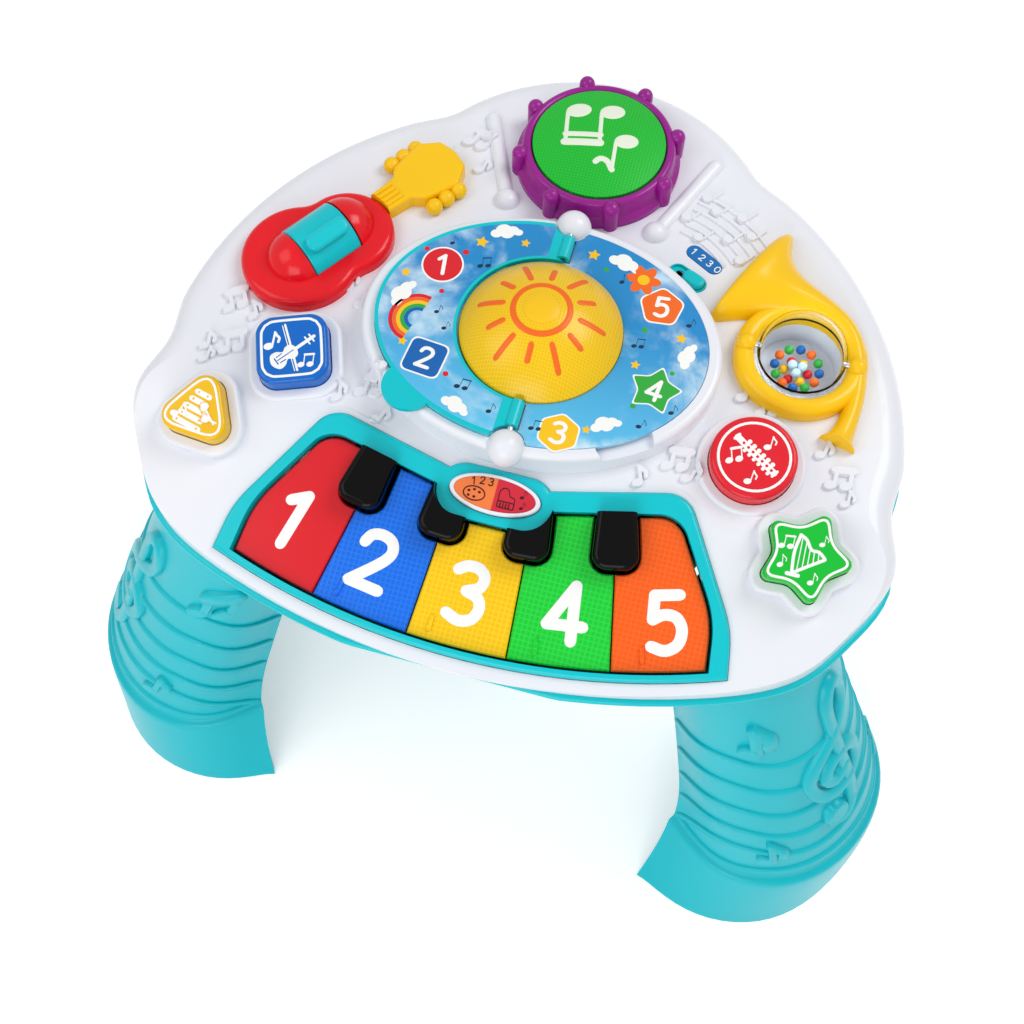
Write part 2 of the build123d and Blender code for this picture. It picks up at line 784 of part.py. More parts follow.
# ---------------------------------------------------------------- buttons
dome_offset = -well_depth - fixed_gap - flange_wall
for name, (face, plane) in buttons.items():
    with BuildPart() as button:
        with BuildSketch(plane.offset(button_proud)):
            add(face)
        extrude(amount=-button_proud - well_depth - fixed_gap)
        top = button.faces().sort_by(lambda f: plane.to_local_coords(f.center()).Z)[-1]
        fillet(top.edges(), 2.2)
        with BuildSketch(plane.offset(dome_offset)):
            add(face)
            offset(amount=flange_lap)
        extrude(amount=flange_wall)
        with BuildSketch(plane.offset(dome_offset)):
            add(face)
            offset(amount=-wall)
        extrude(amount=well_depth + button_proud - wall, mode=Mode.SUBTRACT)
        with BuildSketch(plane.offset(dome_offset)):
            Circle(dome_radius - 1.5)
        extrude(amount=well_depth + button_proud)
    save(button, name)

    with BuildPart() as dome:
        with BuildSketch(plane.offset(dome_offset - fixed_gap)):
            Circle(dome_radius - 2)
        with BuildSketch(plane.offset(dome_offset - dome_height + fixed_gap)):
            Circle(dome_radius)
        loft()
    save(dome, name.replace("button", "rubber_dome"))

# ---------------------------------------------------------------- dial pieces
with BuildPart() as picture_plate:
    with BuildSketch(spot(0, dial_middle, plate_seat)):
        add(dial_oval(0))
        Circle(sun_radius + fixed_gap, mode=Mode.SUBTRACT)
        for y in hub_reach:
            with Locations((0, y - dial_middle)):
                Circle(hub_radius + fixed_gap, mode=Mode.SUBTRACT)
    extrude(amount=plate_wall)
    for low, high in barrel_spans:
        with BuildSketch(spot(0, (low + high) / 2, plate_seat - 1)):
            Rectangle(2 * barrel_radius + 1, high - low + 1)
        extrude(amount=10, mode=Mode.SUBTRACT)
save(picture_plate, "picture_plate")

with BuildPart() as picture_page:
    with BuildSketch(spot(0, dial_middle, page_axis - page_wall / 2)):
        add(dial_oval(0))
        with Locations((-tab_place[0], tab_place[1] - dial_middle)):
            Circle(tab_radius)
        Circle(sun_radius + 1.2, mode=Mode.SUBTRACT)
        for y in hub_reach:
            with Locations((0, y - dial_middle)):
                Circle(hub_radius + fixed_gap, mode=Mode.SUBTRACT)
        with Locations((dial_half[0], 0)):
            Rectangle(2 * dial_half[0], 4 * dial_half[1], mode=Mode.SUBTRACT)
        with Locations((-page_gap / 2, 0)):
            Rectangle(page_gap, 4 * dial_half[1], mode=Mode.SUBTRACT)
    extrude(amount=page_wall)
    for low, high in barrel_spans:
        with BuildSketch(Plane((0, middle_y + low, page_axis), z_dir=(0, 1, 0))):
            Circle(barrel_radius)
        extrude(amount=high - low)
        with BuildSketch(Plane((0, middle_y + low - 1, page_axis), z_dir=(0, 1, 0))):
            Circle(pin_radius + pin_gap)
        extrude(amount=high - low + 2, mode=Mode.SUBTRACT)
save(picture_page, "picture_page")

with BuildPart() as page_pins:
    for (low, high), hub in zip(barrel_spans, hub_reach):
        start = hub if hub < low else low + 1
        end = hub if hub > high else high - 1
        with BuildSketch(Plane((0, middle_y + start, page_axis), z_dir=(0, 1, 0))):
            Circle(pin_radius)
        extrude(amount=end - start)

cap_radius = (sun_radius**2 + sun_rise**2) / (2 * sun_rise)
cap_centre = sun_base + sun_rise - cap_radius
with BuildPart() as sun_hollow:
    with Locations((0, middle_y + dial_middle, cap_centre)):
        Sphere(cap_radius - sun_wall)
    with BuildSketch(table.offset(sun_base)):
        Circle(2 * body_radius)
    extrude(amount=-2 * cap_radius, mode=Mode.SUBTRACT)

with BuildPart() as sun_dome:
    with Locations((0, middle_y + dial_middle, cap_centre)):
        Sphere(cap_radius)
    with BuildSketch(table.offset(sun_base)):
        Circle(2 * body_radius)
    extrude(amount=-2 * cap_radius, mode=Mode.SUBTRACT)
    with BuildSketch(spot(0, dial_middle, sun_seat)):
        Circle(sun_radius)
    extrude(amount=sun_base - sun_seat)
    with BuildSketch(spot(0, dial_middle, sun_seat)):
        Circle(sun_radius + sun_flange)
    extrude(amount=sun_flange)
    add(sun_hollow.part, mode=Mode.SUBTRACT)
    with BuildSketch(spot(0, dial_middle, sun_seat)):
        Circle(sun_radius - sun_flange)
    extrude(amount=sun_base - sun_seat + 0.01, mode=Mode.SUBTRACT)
save(sun_dome, "sun_dome")

with BuildPart() as lamp_board:
    with BuildSketch(spot(0, dial_middle, sun_seat - wall)):
        Circle(sun_radius + 4)
    extrude(amount=-board_wall)
    with BuildSketch(spot(0, dial_middle, sun_seat - wall)):
        with PolarLocations(14, 5):
            RectangleRounded(5, 5, 1)
    extrude(amount=2)
save(lamp_board, "lamp_board")

# ---------------------------------------------------------------- drum
with BuildPart() as drum_rim:
    with BuildSketch(side_plane):
        with BuildLine():
            base = drum_middle + drum_radius
            crest = drum_middle + drum_top_radius
            top = deck_height + drum_height
            Polyline(
                (drum_middle + drum_hole + 6, deck_height),
                (base, deck_height),
                (base, deck_height + 3.5),
                (crest + 1.2, deck_height + 6),
                (crest, top - 3),
            )
            ThreePointArc((crest, top - 3), (crest - 2.4, top), (drum_middle + drum_bore, top - 2))
            Polyline(
                (drum_middle + drum_bore, top - 2),
                (drum_middle + drum_bore, deck_height + 2.5),
                (drum_middle + drum_hole + 6, deck_height + 2.5),
                (drum_middle + drum_hole + 6, deck_height),
            )
        make_face()
    revolve(axis=Axis((0, middle_y + drum_middle, 0), (0, 0, 1)))
    for k in range(lug_count):
        angle = radians((k + 0.5) * 360 / lug_count)
        foot = (
            (drum_top_radius + 1.6) * cos(angle),
            drum_middle + (drum_top_radius + 1.6) * sin(angle),
        )
        with BuildSketch(spot(*foot, deck_height)):
            Circle(lug_radius)
        extrude(amount=drum_height - 2)
        with Locations((foot[0], middle_y + foot[1], deck_height + drum_height - 2)):
            Sphere(lug_radius)
    with BuildSketch(spot(0, drum_middle, deck_height + 2.5)):
        Circle(drum_bore)
    extrude(amount=2 * drum_height, mode=Mode.SUBTRACT)
save(drum_rim, "drum_rim")

pad_radius = drum_bore - running_gap
pad_base = deck_height + drum_height - 5.5
stem_end = deck_height - well_depth
with BuildPart() as drum_pad:
    pad_cap = (pad_radius**2 + pad_rise**2) / (2 * pad_rise)
    pad_top = deck_height + drum_height + pad_rise
    with Locations((0, middle_y + drum_middle, pad_top - pad_cap)):
        Sphere(pad_cap)
    with BuildSketch(spot(0, drum_middle, pad_base)):
        Circle(pad_radius)
    extrude(amount=2 * drum_height, mode=Mode.INTERSECT)
    with BuildSketch(spot(0, drum_middle, pad_base)):
        Circle(pad_radius - wall)
    extrude(amount=3.0, mode=Mode.SUBTRACT)
    with BuildSketch(spot(0, drum_middle, stem_end)):
        Circle(drum_hole - 8)
        Circle(drum_hole - 8 - wall, mode=Mode.SUBTRACT)
    extrude(amount=pad_base + 4 - stem_end)
    with BuildSketch(spot(0, drum_middle, stem_end)):
        Circle(dome_radius - 1.5)
    extrude(amount=pad_base + 4 - stem_end)
    with BuildSketch(spot(0, drum_middle, stem_end)):
        with PolarLocations(drum_hole - 6, 3):
            Rectangle(6, 8)
    extrude(amount=pad_base + 4 - stem_end)
    for k in range(3):
        hook = spot(0, drum_middle, deck_height - wall - fixed_gap).rotated((0, 0, 120 * k))
        with BuildSketch(hook):
            with Locations((drum_hole - 0.5, 0)):
                Rectangle(6, 8)
        extrude(amount=-2.4)
save(drum_pad, "drum_pad")

with BuildPart() as rubber_dome_drum:
    with BuildSketch(spot(0, drum_middle, stem_end - fixed_gap)):
        Circle(dome_radius - 2)
    with BuildSketch(spot(0, drum_middle, stem_end - dome_height - flange_wall + fixed_gap)):
        Circle(dome_radius)
    loft()
save(rubber_dome_drum, "rubber_dome_drum")

# ---------------------------------------------------------------- keyboard
play_gap = 1.0              # between a key's front and the frame
black_gap = 0.8
rear_slant = 4.5            # the rear edges of the outer keys run this far forwards
tongue_places = (0.0, 39.0, 79.0)
black_rear = 272.0
black_fillet = 3.0
black_corner = 7.0
bed_top = 17.5              # key bed under the sloping plane
bed_wall = 3.0
bed_span = (58.0, 91.5)
ear_places = (19.0, 57.0, 93.5)
ear_wall = 4.0
plunger_fan = 343.0
plunger_reach = 9.0
plunger_radius = 3.5


def wedge_face(low, high, inset=0.0):
    """A slice of the fan, moved in on its two sides."""
    with BuildSketch() as face:
        with BuildLine():
            corners = []
            for turn, side in ((low, inset), (high, -inset)):
                across = Vector(cos(radians(turn)), sin(radians(turn)))
                corners.append([Vector(*fan_point(reach, turn)) + across * side for reach in (200, 500)])
            Polyline(corners[0][0], corners[0][1], corners[1][1], corners[1][0], close=True)
        make_face()
    return face.sketch


def black_face(turn, grow=0.0):
    """A black key's outline, on a boundary between two keys."""
    with BuildSketch() as face:
        with BuildLine():
            Polyline(
                (-black_half_rear - grow, -black_rear + grow),
                (-black_half_front - grow, -black_front - grow),
                (black_half_front + grow, -black_front - grow),
                (black_half_rear + grow, -black_rear + grow),
                close=True,
            )
        make_face()
        fillet(face.vertices().group_by(Axis.Y)[0], black_corner + grow)
    return Pos(0, fan_setback) * Rot(0, 0, turn) * face.sketch


def key_face(number, inset):
    """A number key's outline, moved in on every side."""
    low = (number - 2.5) * key_pitch
    high = (number - 1.5) * key_pitch if number < 4 else 40.0
    with BuildSketch() as face:
        add(wedge_face(low, high, inset))
        add(bay_face(-play_gap - inset), mode=Mode.INTERSECT)
        for turn in black_turns:
            add(black_face(turn, black_gap + inset), mode=Mode.SUBTRACT)
    return face.sketch


black_turns = [key_pitch * step for step in (-1.5, -0.5, 0.5, 1.5)]
# the two keys on the left mirror the two on the right
for number in (2, 3, 4):
    middle_turn = (number - 2) * key_pitch
    outer_face = key_face(number, key_gap / 2)
    rear = outer_face.bounding_box().max.Y - rear_slant
    if number == 2:
        rear = surround_centre - surround_size[1] / 2 - play_gap - key_gap / 2
    tongue_x = tongue_places[number - 2]
    with BuildPart() as key:
        with BuildSketch(bed):
            add(outer_face)
        extrude(amount=-key_depth)
        top = key.faces().sort_by(lambda f: bed.to_local_coords(f.center()).Z)[-1]
        chamfer(top.edges(), key_edge)
        with BuildSketch(bed.offset(-key_depth)):
            add(key_face(number, key_gap / 2 + key_wall))
        extrude(amount=key_depth - key_wall, mode=Mode.SUBTRACT)
        with BuildSketch(bed.offset(-plunger_reach)):
            with Locations(fan_point(plunger_fan, middle_turn)):
                Circle(plunger_radius)
        extrude(amount=plunger_reach - key_wall)
        tongue_plane = Plane(
            bed.from_local_coords((tongue_x - tongue_width / 2, 0, 0)),
            x_dir=bed.y_dir,
            z_dir=bed.x_dir,
        )
        with BuildSketch(tongue_plane):
            with BuildLine():
                Polyline(
                    (rear - 12, -key_wall / 2),
                    (rear - key_wall / 2, -key_wall / 2),
                    (rear - key_wall / 2, -key_depth),
                    (rod_setback, -key_depth),
                    (rod_setback, -rod_depth - 4),
                    (rear - 12, -rod_depth - 4),
                    close=True,
                )
            make_face()
            with Locations((rod_setback, -rod_depth)):
                Circle(4.0)
                Circle(rod_radius + pin_gap, mode=Mode.SUBTRACT)
        extrude(amount=tongue_width)
    save(key, f"key_{number + 1}")
    if number > 2:
        with BuildPart() as twin_key:
            mirror(key.part, about=Plane.YZ)
        save(twin_key, f"key_{5 - number}")

with BuildPart() as key_rod:
    with BuildSketch(Plane(bed.from_local_coords((-rod_half, rod_setback, -rod_depth)), z_dir=bed.x_dir)):
        Circle(rod_radius)
    extrude(amount=2 * rod_half)
save(key_rod, "key_rod")

with BuildPart() as black_keys:
    for turn in black_turns:
        add(raised_block(black_face(turn), bed.offset(black_rise), -black_rise - key_depth, 0, black_fillet))
    with BuildSketch(bed.offset(-key_depth)):
        add(bay_face(-fixed_gap))
    extrude(amount=key_depth + black_rise, mode=Mode.INTERSECT)
    with BuildSketch(bed.offset(-key_depth)):
        for turn in black_turns:
            add(black_face(turn, -key_wall))
        add(bay_face(-fixed_gap - key_wall), mode=Mode.INTERSECT)
    extrude(amount=key_depth - bed_top)
    with BuildSketch(bed.offset(-bed_top)):
        with Locations((0, sum(bed_span) / 2)):
            Rectangle(2 * ear_places[-1] + ear_wall, bed_span[1] - bed_span[0])
    extrude(amount=-bed_wall)
    for place in ear_places:
        for side in (-1, 1):
            ear_plane = Plane(
                bed.from_local_coords((side * place - ear_wall / 2, 0, 0)),
                x_dir=bed.y_dir,
                z_dir=bed.x_dir,
            )
            with BuildSketch(ear_plane):
                with Locations((rod_setback - 1, -(bed_top + frame_depth + wall) / 2)):
                    Rectangle(9, bed_top - frame_depth - wall)
                with Locations((rod_setback, -rod_depth)):
                    Circle(rod_radius + pin_gap, mode=Mode.SUBTRACT)
            extrude(amount=ear_wall)
save(black_keys, "black_keys")

with BuildPart() as key_board:
    with BuildSketch(bed.offset(-key_board_depth)):
        with Locations((0, fan_setback)):
            Circle(strip_fan[1])
            Circle(strip_fan[0], mode=Mode.SUBTRACT)
        add(wedge_face(-strip_turn, strip_turn), mode=Mode.INTERSECT)
    extrude(amount=-board_wall)
save(key_board, "key_board")

press = (rod_setback - fan_setback + plunger_fan) * tan(radians(key_travel))
with BuildPart() as key_domes:
    for number in range(5):
        place = fan_point(plunger_fan, (number - 2) * key_pitch)
        with BuildSketch(bed.offset(-key_board_depth)):
            with Locations(place):
                Circle(plunger_radius + 1.5)
        extrude(amount=key_board_depth - plunger_reach - press - fixed_gap, taper=12)
save(key_domes, "key_domes")

with BuildPart() as piano_frame:
    add(raised_block(frame_face(), bed.offset(frame_rise), -frame_rise - frame_depth, 0, frame_roll))
    with BuildSketch(bed.offset(-frame_depth)):
        add(bay_face())
    extrude(amount=20, mode=Mode.SUBTRACT)
    with BuildSketch(mode_plane):
        Ellipse(mode_half[0] + running_gap, mode_half[1] + running_gap)
    extrude(amount=-frame_rise - 0.5, mode=Mode.SUBTRACT)
    with BuildSketch(mode_plane):
        Ellipse(mode_hole[0] + running_gap, mode_hole[1] + running_gap)
    extrude(amount=-20, mode=Mode.SUBTRACT)
save(piano_frame, "piano_frame")

with BuildPart() as mode_button:
    with BuildSketch(mode_plane.offset(mode_proud)):
        Ellipse(*mode_half)
    extrude(amount=-mode_proud - frame_rise + mode_travel + fixed_gap)
    cap_top = mode_button.faces().sort_by(lambda f: mode_plane.to_local_coords(f.center()).Z)[-1]
    fillet(cap_top.edges(), 1.0)
    with BuildSketch(mode_plane.offset(mode_proud)):
        Ellipse(mode_label_half[0] + 0.15, mode_label_half[1] + 0.15)
    extrude(amount=-0.8, mode=Mode.SUBTRACT)
    with BuildSketch(mode_plane):
        Ellipse(*mode_hole)
    extrude(amount=-mode_depth)
    with BuildSketch(mode_plane.offset(-frame_rise - frame_depth - fixed_gap)):
        Ellipse(mode_hole[0] + mode_hook[0], mode_hole[1] + mode_hook[1])
    extrude(amount=-1.5)
save(mode_button, "mode_button")

with BuildPart() as rubber_domes_mode:
    with BuildSketch(bed.offset(-bed_top)):
        with Locations((-mode_dome_reach, surround_centre), (mode_dome_reach, surround_centre)):
            Circle(mode_dome_radius)
    extrude(amount=bed_top + frame_rise - mode_depth - fixed_gap, taper=6)
save(rubber_domes_mode, "rubber_domes_mode")

with BuildPart() as mode_label:
    with BuildSketch(mode_plane.offset(mode_proud - 0.8)):
        Ellipse(*mode_label_half)
    extrude(amount=0.9)
save(mode_label, "mode_label")

# ---------------------------------------------------------------- guitar
roller_start = Plane(
    roller_plane.from_local_coords((roller_place[0] - roller_half - cap_gap, roller_place[1], 0)),
    z_dir=guitar.x_dir,
)
cavity_length = 2 * (roller_half + cap_gap)
with BuildPart() as trough:
    with BuildSketch(roller_start.offset(-trough_wall)):
        Circle(trough_radius + trough_wall)
    extrude(amount=cavity_length + 2 * trough_wall)
    with BuildSketch(table.offset(deck_height + 1)):
        Circle(2 * body_radius)
    extrude(amount=100, mode=Mode.SUBTRACT)

with BuildPart() as guitar_body:
    with BuildSketch(guitar) as guitar_face:
        with Locations(lower_bout[:2]):
            Circle(lower_bout[2])
        with Locations(upper_bout[:2]):
            Circle(upper_bout[2])
        fillet(guitar_face.vertices().sort_by_distance((1, 0, 0))[:2], 14)
    extrude(amount=body_rise)
    crown = guitar_body.faces().sort_by(Axis.Z)[-1]
    fillet(crown.edges(), 4.0)
    for end in (-1, 1):
        cap_middle = roller_plane.from_local_coords(
            (roller_place[0] + end * (roller_half + cap_gap), roller_place[1], 0)
        )
        with Locations(cap_middle):
            Sphere(roller_radius)
    with BuildSketch(table.offset(deck_height)):
        Circle(2 * body_radius)
    extrude(amount=-100, mode=Mode.SUBTRACT)
    add(trough.part)
    with BuildSketch(roller_start):
        Circle(trough_radius)
    extrude(amount=cavity_length, mode=Mode.SUBTRACT)
    with BuildSketch(roller_start.offset(-axle_grip)):
        Circle(axle_radius + pin_gap)
    extrude(amount=cavity_length + 2 * axle_grip, mode=Mode.SUBTRACT)
save(guitar_body, "guitar_body")

with BuildPart() as roller_axle:
    with BuildSketch(roller_start.offset(-axle_grip)):
        Circle(axle_radius)
    extrude(amount=cavity_length + 2 * axle_grip)
save(roller_axle, "roller_axle")

with BuildPart() as strum_roller:
    with BuildSketch(roller_start.offset(cap_gap)):
        Circle(roller_radius)
    extrude(amount=2 * roller_half)
    lean = guitar.z_dir * cos(radians(paddle_turn)) - guitar.y_dir * sin(radians(paddle_turn))
    paddle_plane = Plane(
        roller_plane.from_local_coords((*roller_place, 0)), x_dir=guitar.x_dir, z_dir=lean
    )
    fillet(strum_roller.edges().filter_by(GeomType.CIRCLE), 1.2)
    with BuildSketch(paddle_plane):
        RectangleRounded(2 * roller_half - 4, paddle_wall, paddle_wall / 2 - 0.2)
    extrude(amount=roller_radius + paddle_rise)
    paddle_top = strum_roller.faces().sort_by(lambda f: paddle_plane.to_local_coords(f.center()).Z)[-1]
    fillet(paddle_top.edges(), 2.0)
    with BuildSketch(roller_start):
        Circle(axle_radius + pin_gap)
    extrude(amount=cavity_length, mode=Mode.SUBTRACT)
save(strum_roller, "strum_roller")

with BuildPart() as guitar_neck:
    with BuildSketch(guitar) as neck_face:
        with BuildLine():
            Polyline(
                (neck_start, -neck_half),
                (neck_start, neck_half),
                (head_start, neck_half + 1.5),
                (head_start + 5, head_half - 4),
                (head_start + 24, head_half),
                (head_end, head_half - 7),
                (head_end + 2, 0),
                (head_end, -head_half + 7),
                (head_start + 24, -head_half),
                (head_start + 5, -head_half + 4),
                (head_start, -neck_half - 1.5),
                close=True,
            )
        make_face()
        fillet(neck_face.vertices().filter_by(lambda v: v.X > neck_start + 1), 3.0)
    extrude(amount=neck_rise)
    crown = guitar_neck.faces().sort_by(Axis.Z)[-1]
    fillet(crown.edges(), 2.0)
    for side in (-1, 1):
        for step in range(3):
            place = guitar.from_local_coords((head_start + 7 + 8 * step, side * (head_half + 0.5), 3.2))
            with Locations(place):
                Sphere(peg_ball)
    for step in range(4):
        with BuildSketch(guitar.offset(neck_rise - 0.5)):
            with Locations((neck_start + 10, (step - 1.5) * neck_half / 2.1)):
                RectangleRounded(18, 1.6, 0.7)
        extrude(amount=1.3)
    with BuildSketch(table.offset(deck_height)):
        Circle(2 * body_radius)
    extrude(amount=-100, mode=Mode.SUBTRACT)
    with BuildSketch(guitar):
        add(guitar_face.sketch_local)
        offset(amount=fixed_gap)
    extrude(amount=100, mode=Mode.SUBTRACT)
save(guitar_neck, "guitar_neck")

# ---------------------------------------------------------------- horn and rattle ball
ball_middle = Vector(rattle[0], middle_y + rattle[1], ball_height)
# stations along the horn: place, half-width, height over the deck
horn_stations = (
    ((90.2, 97.1), 30.5, 12.5),
    ((92.5, 96.0), 33.0, 15.0),
    ((98.5, 93.0), 26.0, 15.0),
    ((111.0, 88.0), 15.0, 14.0),
    ((128.0, 83.5), 9.0, 12.0),
    ((143.5, 74.0), 6.4, 10.5),
    ((151.5, 56.0), 5.2, 9.0),
    ((153.0, 38.0), 4.8, 8.0),
    ((151.5, 24.0), 5.2, 8.0),
    ((149.0, 13.5), 9.0, 9.5),
)


def horn_headings():
    """The way that the horn runs at each station."""
    places = [Vector(*place) for place, half, height in horn_stations]
    ways = [(places[1] - places[0]).normalized()]
    for before, after in zip(places[:-2], places[2:]):
        ways.append((after - before).normalized())
    ways.append((places[-1] - places[-2]).normalized())
    return ways


with BuildPart() as horn:
    for (place, half, height), way in zip(horn_stations, horn_headings()):
        station = Plane(
            (place[0], middle_y + place[1], deck_height),
            x_dir=(-way.Y, way.X, 0),
            z_dir=way,
        )
        with BuildSketch(station):
            Ellipse(half, height)
    loft()
    with Locations(Vector(rattle[0], middle_y + rattle[1], deck_height + 3.5)):
        Torus(ring_radius, tube_radius)
    with BuildSketch(spot(*rattle, deck_height)):
        Circle(ring_radius + tube_radius)
    extrude(amount=3.5)
    for side in (-1, 1):
        with BuildSketch(spot(rattle[0] + side * (ring_radius - 0.5), rattle[1], deck_height)):
            Circle(tube_radius - 0.4)
        extrude(amount=rattle_rise)
        with Locations(Vector(rattle[0] + side * (ring_radius - 0.5), middle_y + rattle[1], ball_height)):
            Sphere(tube_radius - 0.4)
    with BuildSketch(table.offset(deck_height)):
        Circle(2 * body_radius)
    extrude(amount=-100, mode=Mode.SUBTRACT)
    with BuildSketch(spot(*rattle, deck_height)):
        Circle(rattle_radius + ball_well_gap)
    extrude(amount=100, mode=Mode.SUBTRACT)
    with BuildSketch(Plane(ball_middle - Vector(ring_radius + 2, 0, 0), z_dir=(1, 0, 0))):
        Circle(pin_radius + pin_gap)
    extrude(amount=2 * ring_radius + 4, mode=Mode.SUBTRACT)
save(horn, "horn")

pin_start = rattle_radius - rattle_wall
with BuildPart() as ball_shell:
    with Locations(ball_middle):
        Sphere(rattle_radius)
    with Locations(ball_middle):
        Sphere(rattle_radius - rattle_wall, mode=Mode.SUBTRACT)
    with BuildSketch(Plane(ball_middle - Vector(2 * rattle_radius, 0, 0), z_dir=(1, 0, 0))):
        Circle(pin_radius + 0.02)
    extrude(amount=4 * rattle_radius, mode=Mode.SUBTRACT)
for name, keep in (("rattle_ball_upper", Keep.TOP), ("rattle_ball_lower", Keep.BOTTOM)):
    with BuildPart() as ball_half:
        add(ball_shell.part)
        split(bisect_by=Plane(ball_middle), keep=keep)
    save(ball_half, name)

with BuildPart() as ball_pins:
    for side in (-1, 1):
        start = ball_middle + Vector(side * pin_start, 0, 0)
        with BuildSketch(Plane(start, z_dir=(side, 0, 0))):
            Circle(pin_radius)
        extrude(amount=ring_radius + 1.5 - pin_start)
save(ball_pins, "ball_pins")

bead_ring = 6.4
bead_drop = sqrt((rattle_radius - rattle_wall - bead_radius - fixed_gap) ** 2 - bead_ring**2)
with BuildPart() as rattle_beads:
    with Locations(ball_middle - Vector(0, 0, rattle_radius - rattle_wall - bead_radius - fixed_gap)):
        Sphere(bead_radius)
    with Locations(ball_middle - Vector(0, 0, bead_drop)):
        with PolarLocations(bead_ring, 6):
            Sphere(bead_radius)
save(rattle_beads, "rattle_beads")

# ---------------------------------------------------------------- switch, label, speaker
with BuildPart() as switch_bezel:
    with BuildSketch(switch.offset(-bezel_seat)):
        SlotOverall(*slot_size)
        SlotOverall(knob_size[0] + switch_stroke - 6 + 2 * running_gap, 3.6 + 2 * running_gap, mode=Mode.SUBTRACT)
    extrude(amount=bezel_seat - 0.8)
    with BuildSketch(switch.offset(-bezel_seat)):
        SlotOverall(*slot_size)
        SlotOverall(slot_size[0] - 1.2, slot_size[1] - 1.2, mode=Mode.SUBTRACT)
    extrude(amount=bezel_seat + 0.4)
save(switch_bezel, "switch_bezel")

knob_plane = Plane(
    switch.from_local_coords((knob_offset, 0, 0)), x_dir=switch.x_dir, z_dir=switch.z_dir
)
with BuildPart() as switch_knob:
    with BuildSketch(knob_plane.offset(-0.5)):
        SlotOverall(*knob_size)
    extrude(amount=4.0)
    crown = switch_knob.faces().sort_by(Axis.Z)[-1]
    fillet(crown.edges(), 1.5)
    with BuildSketch(knob_plane.offset(-5)):
        SlotOverall(knob_size[0] - 6, 3.6)
    extrude(amount=5)
    with BuildSketch(knob_plane.offset(-2 * wall)):
        RectangleRounded(8, 6.5, 1)
    extrude(amount=2 * wall - wall - fixed_gap)
save(switch_knob, "switch_knob")

with BuildPart() as switch_label:
    with BuildSketch(label_plane.offset(-label_seat)):
        SlotOverall(*label_size)
    extrude(amount=label_seat + 0.3)
save(switch_label, "switch_label")

with BuildPart() as speaker:
    with BuildSketch(spot(*speaker_place, deck_height - wall)):
        Circle(speaker_radius)
    extrude(amount=-1.6)
    with BuildSketch(spot(*speaker_place, deck_height - wall - 1.6)):
        Circle(speaker_radius - 2)
    extrude(amount=-5, taper=35)
    with BuildSketch(spot(*speaker_place, deck_height - wall - 6.6)):
        Circle(speaker_radius / 2)
    extrude(amount=-5)
save(speaker, "speaker")

# ---------------------------------------------------------------- boards and cells
with BuildPart() as circuit_board:
    with BuildSketch(spot(*main_board, board_height)):
        RectangleRounded(*board_size, 2)
    extrude(amount=board_wall)
    for place, size, tall in (((-12, 4), (16, 12), 1.4), ((12, -8), (10, 10), 2.0), ((18, 12), (12, 7), 6.0)):
        with BuildSketch(spot(main_board[0] + place[0], main_board[1] + place[1], board_height)):
            Rectangle(*size)
        extrude(amount=board_wall + tall)
save(circuit_board, "circuit_board")

cell_floor = tray_bottom + door_wall + fixed_gap
with BuildPart() as batteries:
    for step in range(cell_count):
        y = battery_middle[1] + (step - (cell_count - 1) / 2) * cell_pitch
        start = Plane(
            (-cell_length / 2, middle_y + y, cell_floor + cell_radius), z_dir=(1, 0, 0)
        )
        with BuildSketch(start):
            Circle(cell_radius)
        extrude(amount=cell_length - 1.5)
        with BuildSketch(start):
            Circle(2.6)
        extrude(amount=cell_length)
save(batteries, "batteries")

with BuildPart() as battery_contacts:
    for step in range(cell_count):
        y = battery_middle[1] + (step - (cell_count - 1) / 2) * cell_pitch
        for side in (-1, 1):
            x = side * (bay_length / 2 - contact_depth / 2)
            with Locations((x, middle_y + y, cell_floor + cell_radius)):
                Box(contact_depth - 0.1, 8, 9)
save(battery_contacts, "battery_contacts")

door_length = bay_length + 2 * door_lap - 2 * fixed_gap
door_width = bay_width + 2 * door_lap - 2 * fixed_gap
door_corner = 2.0
with BuildPart() as battery_door:
    with BuildSketch(table.offset(tray_bottom)):
        with Locations(battery_middle):
            RectangleRounded(door_length, door_width, door_corner)
        with Locations(ear_middle):
            Circle(ear_radius - fixed_gap)
    extrude(amount=door_wall)
    with BuildSketch(table.offset(tray_bottom)):
        with Locations(ear_middle):
            Circle(screw_radius + pin_gap)
    extrude(amount=door_wall, mode=Mode.SUBTRACT)
    with BuildSketch(table.offset(tray_bottom)):
        with Locations(ear_middle):
            Circle(screw_head + fixed_gap)
    extrude(amount=door_wall / 2, mode=Mode.SUBTRACT)
save(battery_door, "battery_door")

with BuildPart() as door_screw:
    with BuildSketch(table.offset(tray_bottom)):
        with Locations(ear_middle):
            Circle(screw_radius)
    extrude(amount=door_wall + ear_grip - 2 * wall)
    with BuildSketch(table.offset(tray_bottom)):
        with Locations(ear_middle):
            Circle(screw_head)
    extrude(amount=door_wall / 2)
save(door_screw, "door_screw")

with BuildPart() as housing_screws:
    with BuildSketch(table.offset(tray_bottom)):
        with Locations(*screw_places):
            Circle(screw_radius)
    extrude(amount=split_height + screw_grip - tray_bottom)
    with BuildSketch(table.offset(tray_bottom)):
        with Locations(*screw_places):
            Circle(screw_head)
    extrude(amount=wall)
save(housing_screws, "housing_screws")
save(page_pins, "page_pins")
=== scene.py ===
"""Looks of a toddler's musical activity table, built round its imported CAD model.

Drawings are laid out in millimetres on fields of their own and dropped onto the mouldings.
"""
from math import atan2, cos, degrees, hypot, pi, radians, sin

import bmesh
import bpy
import numpy as np
from mathutils import Matrix, Vector
from mathutils.bvhtree import BVHTree


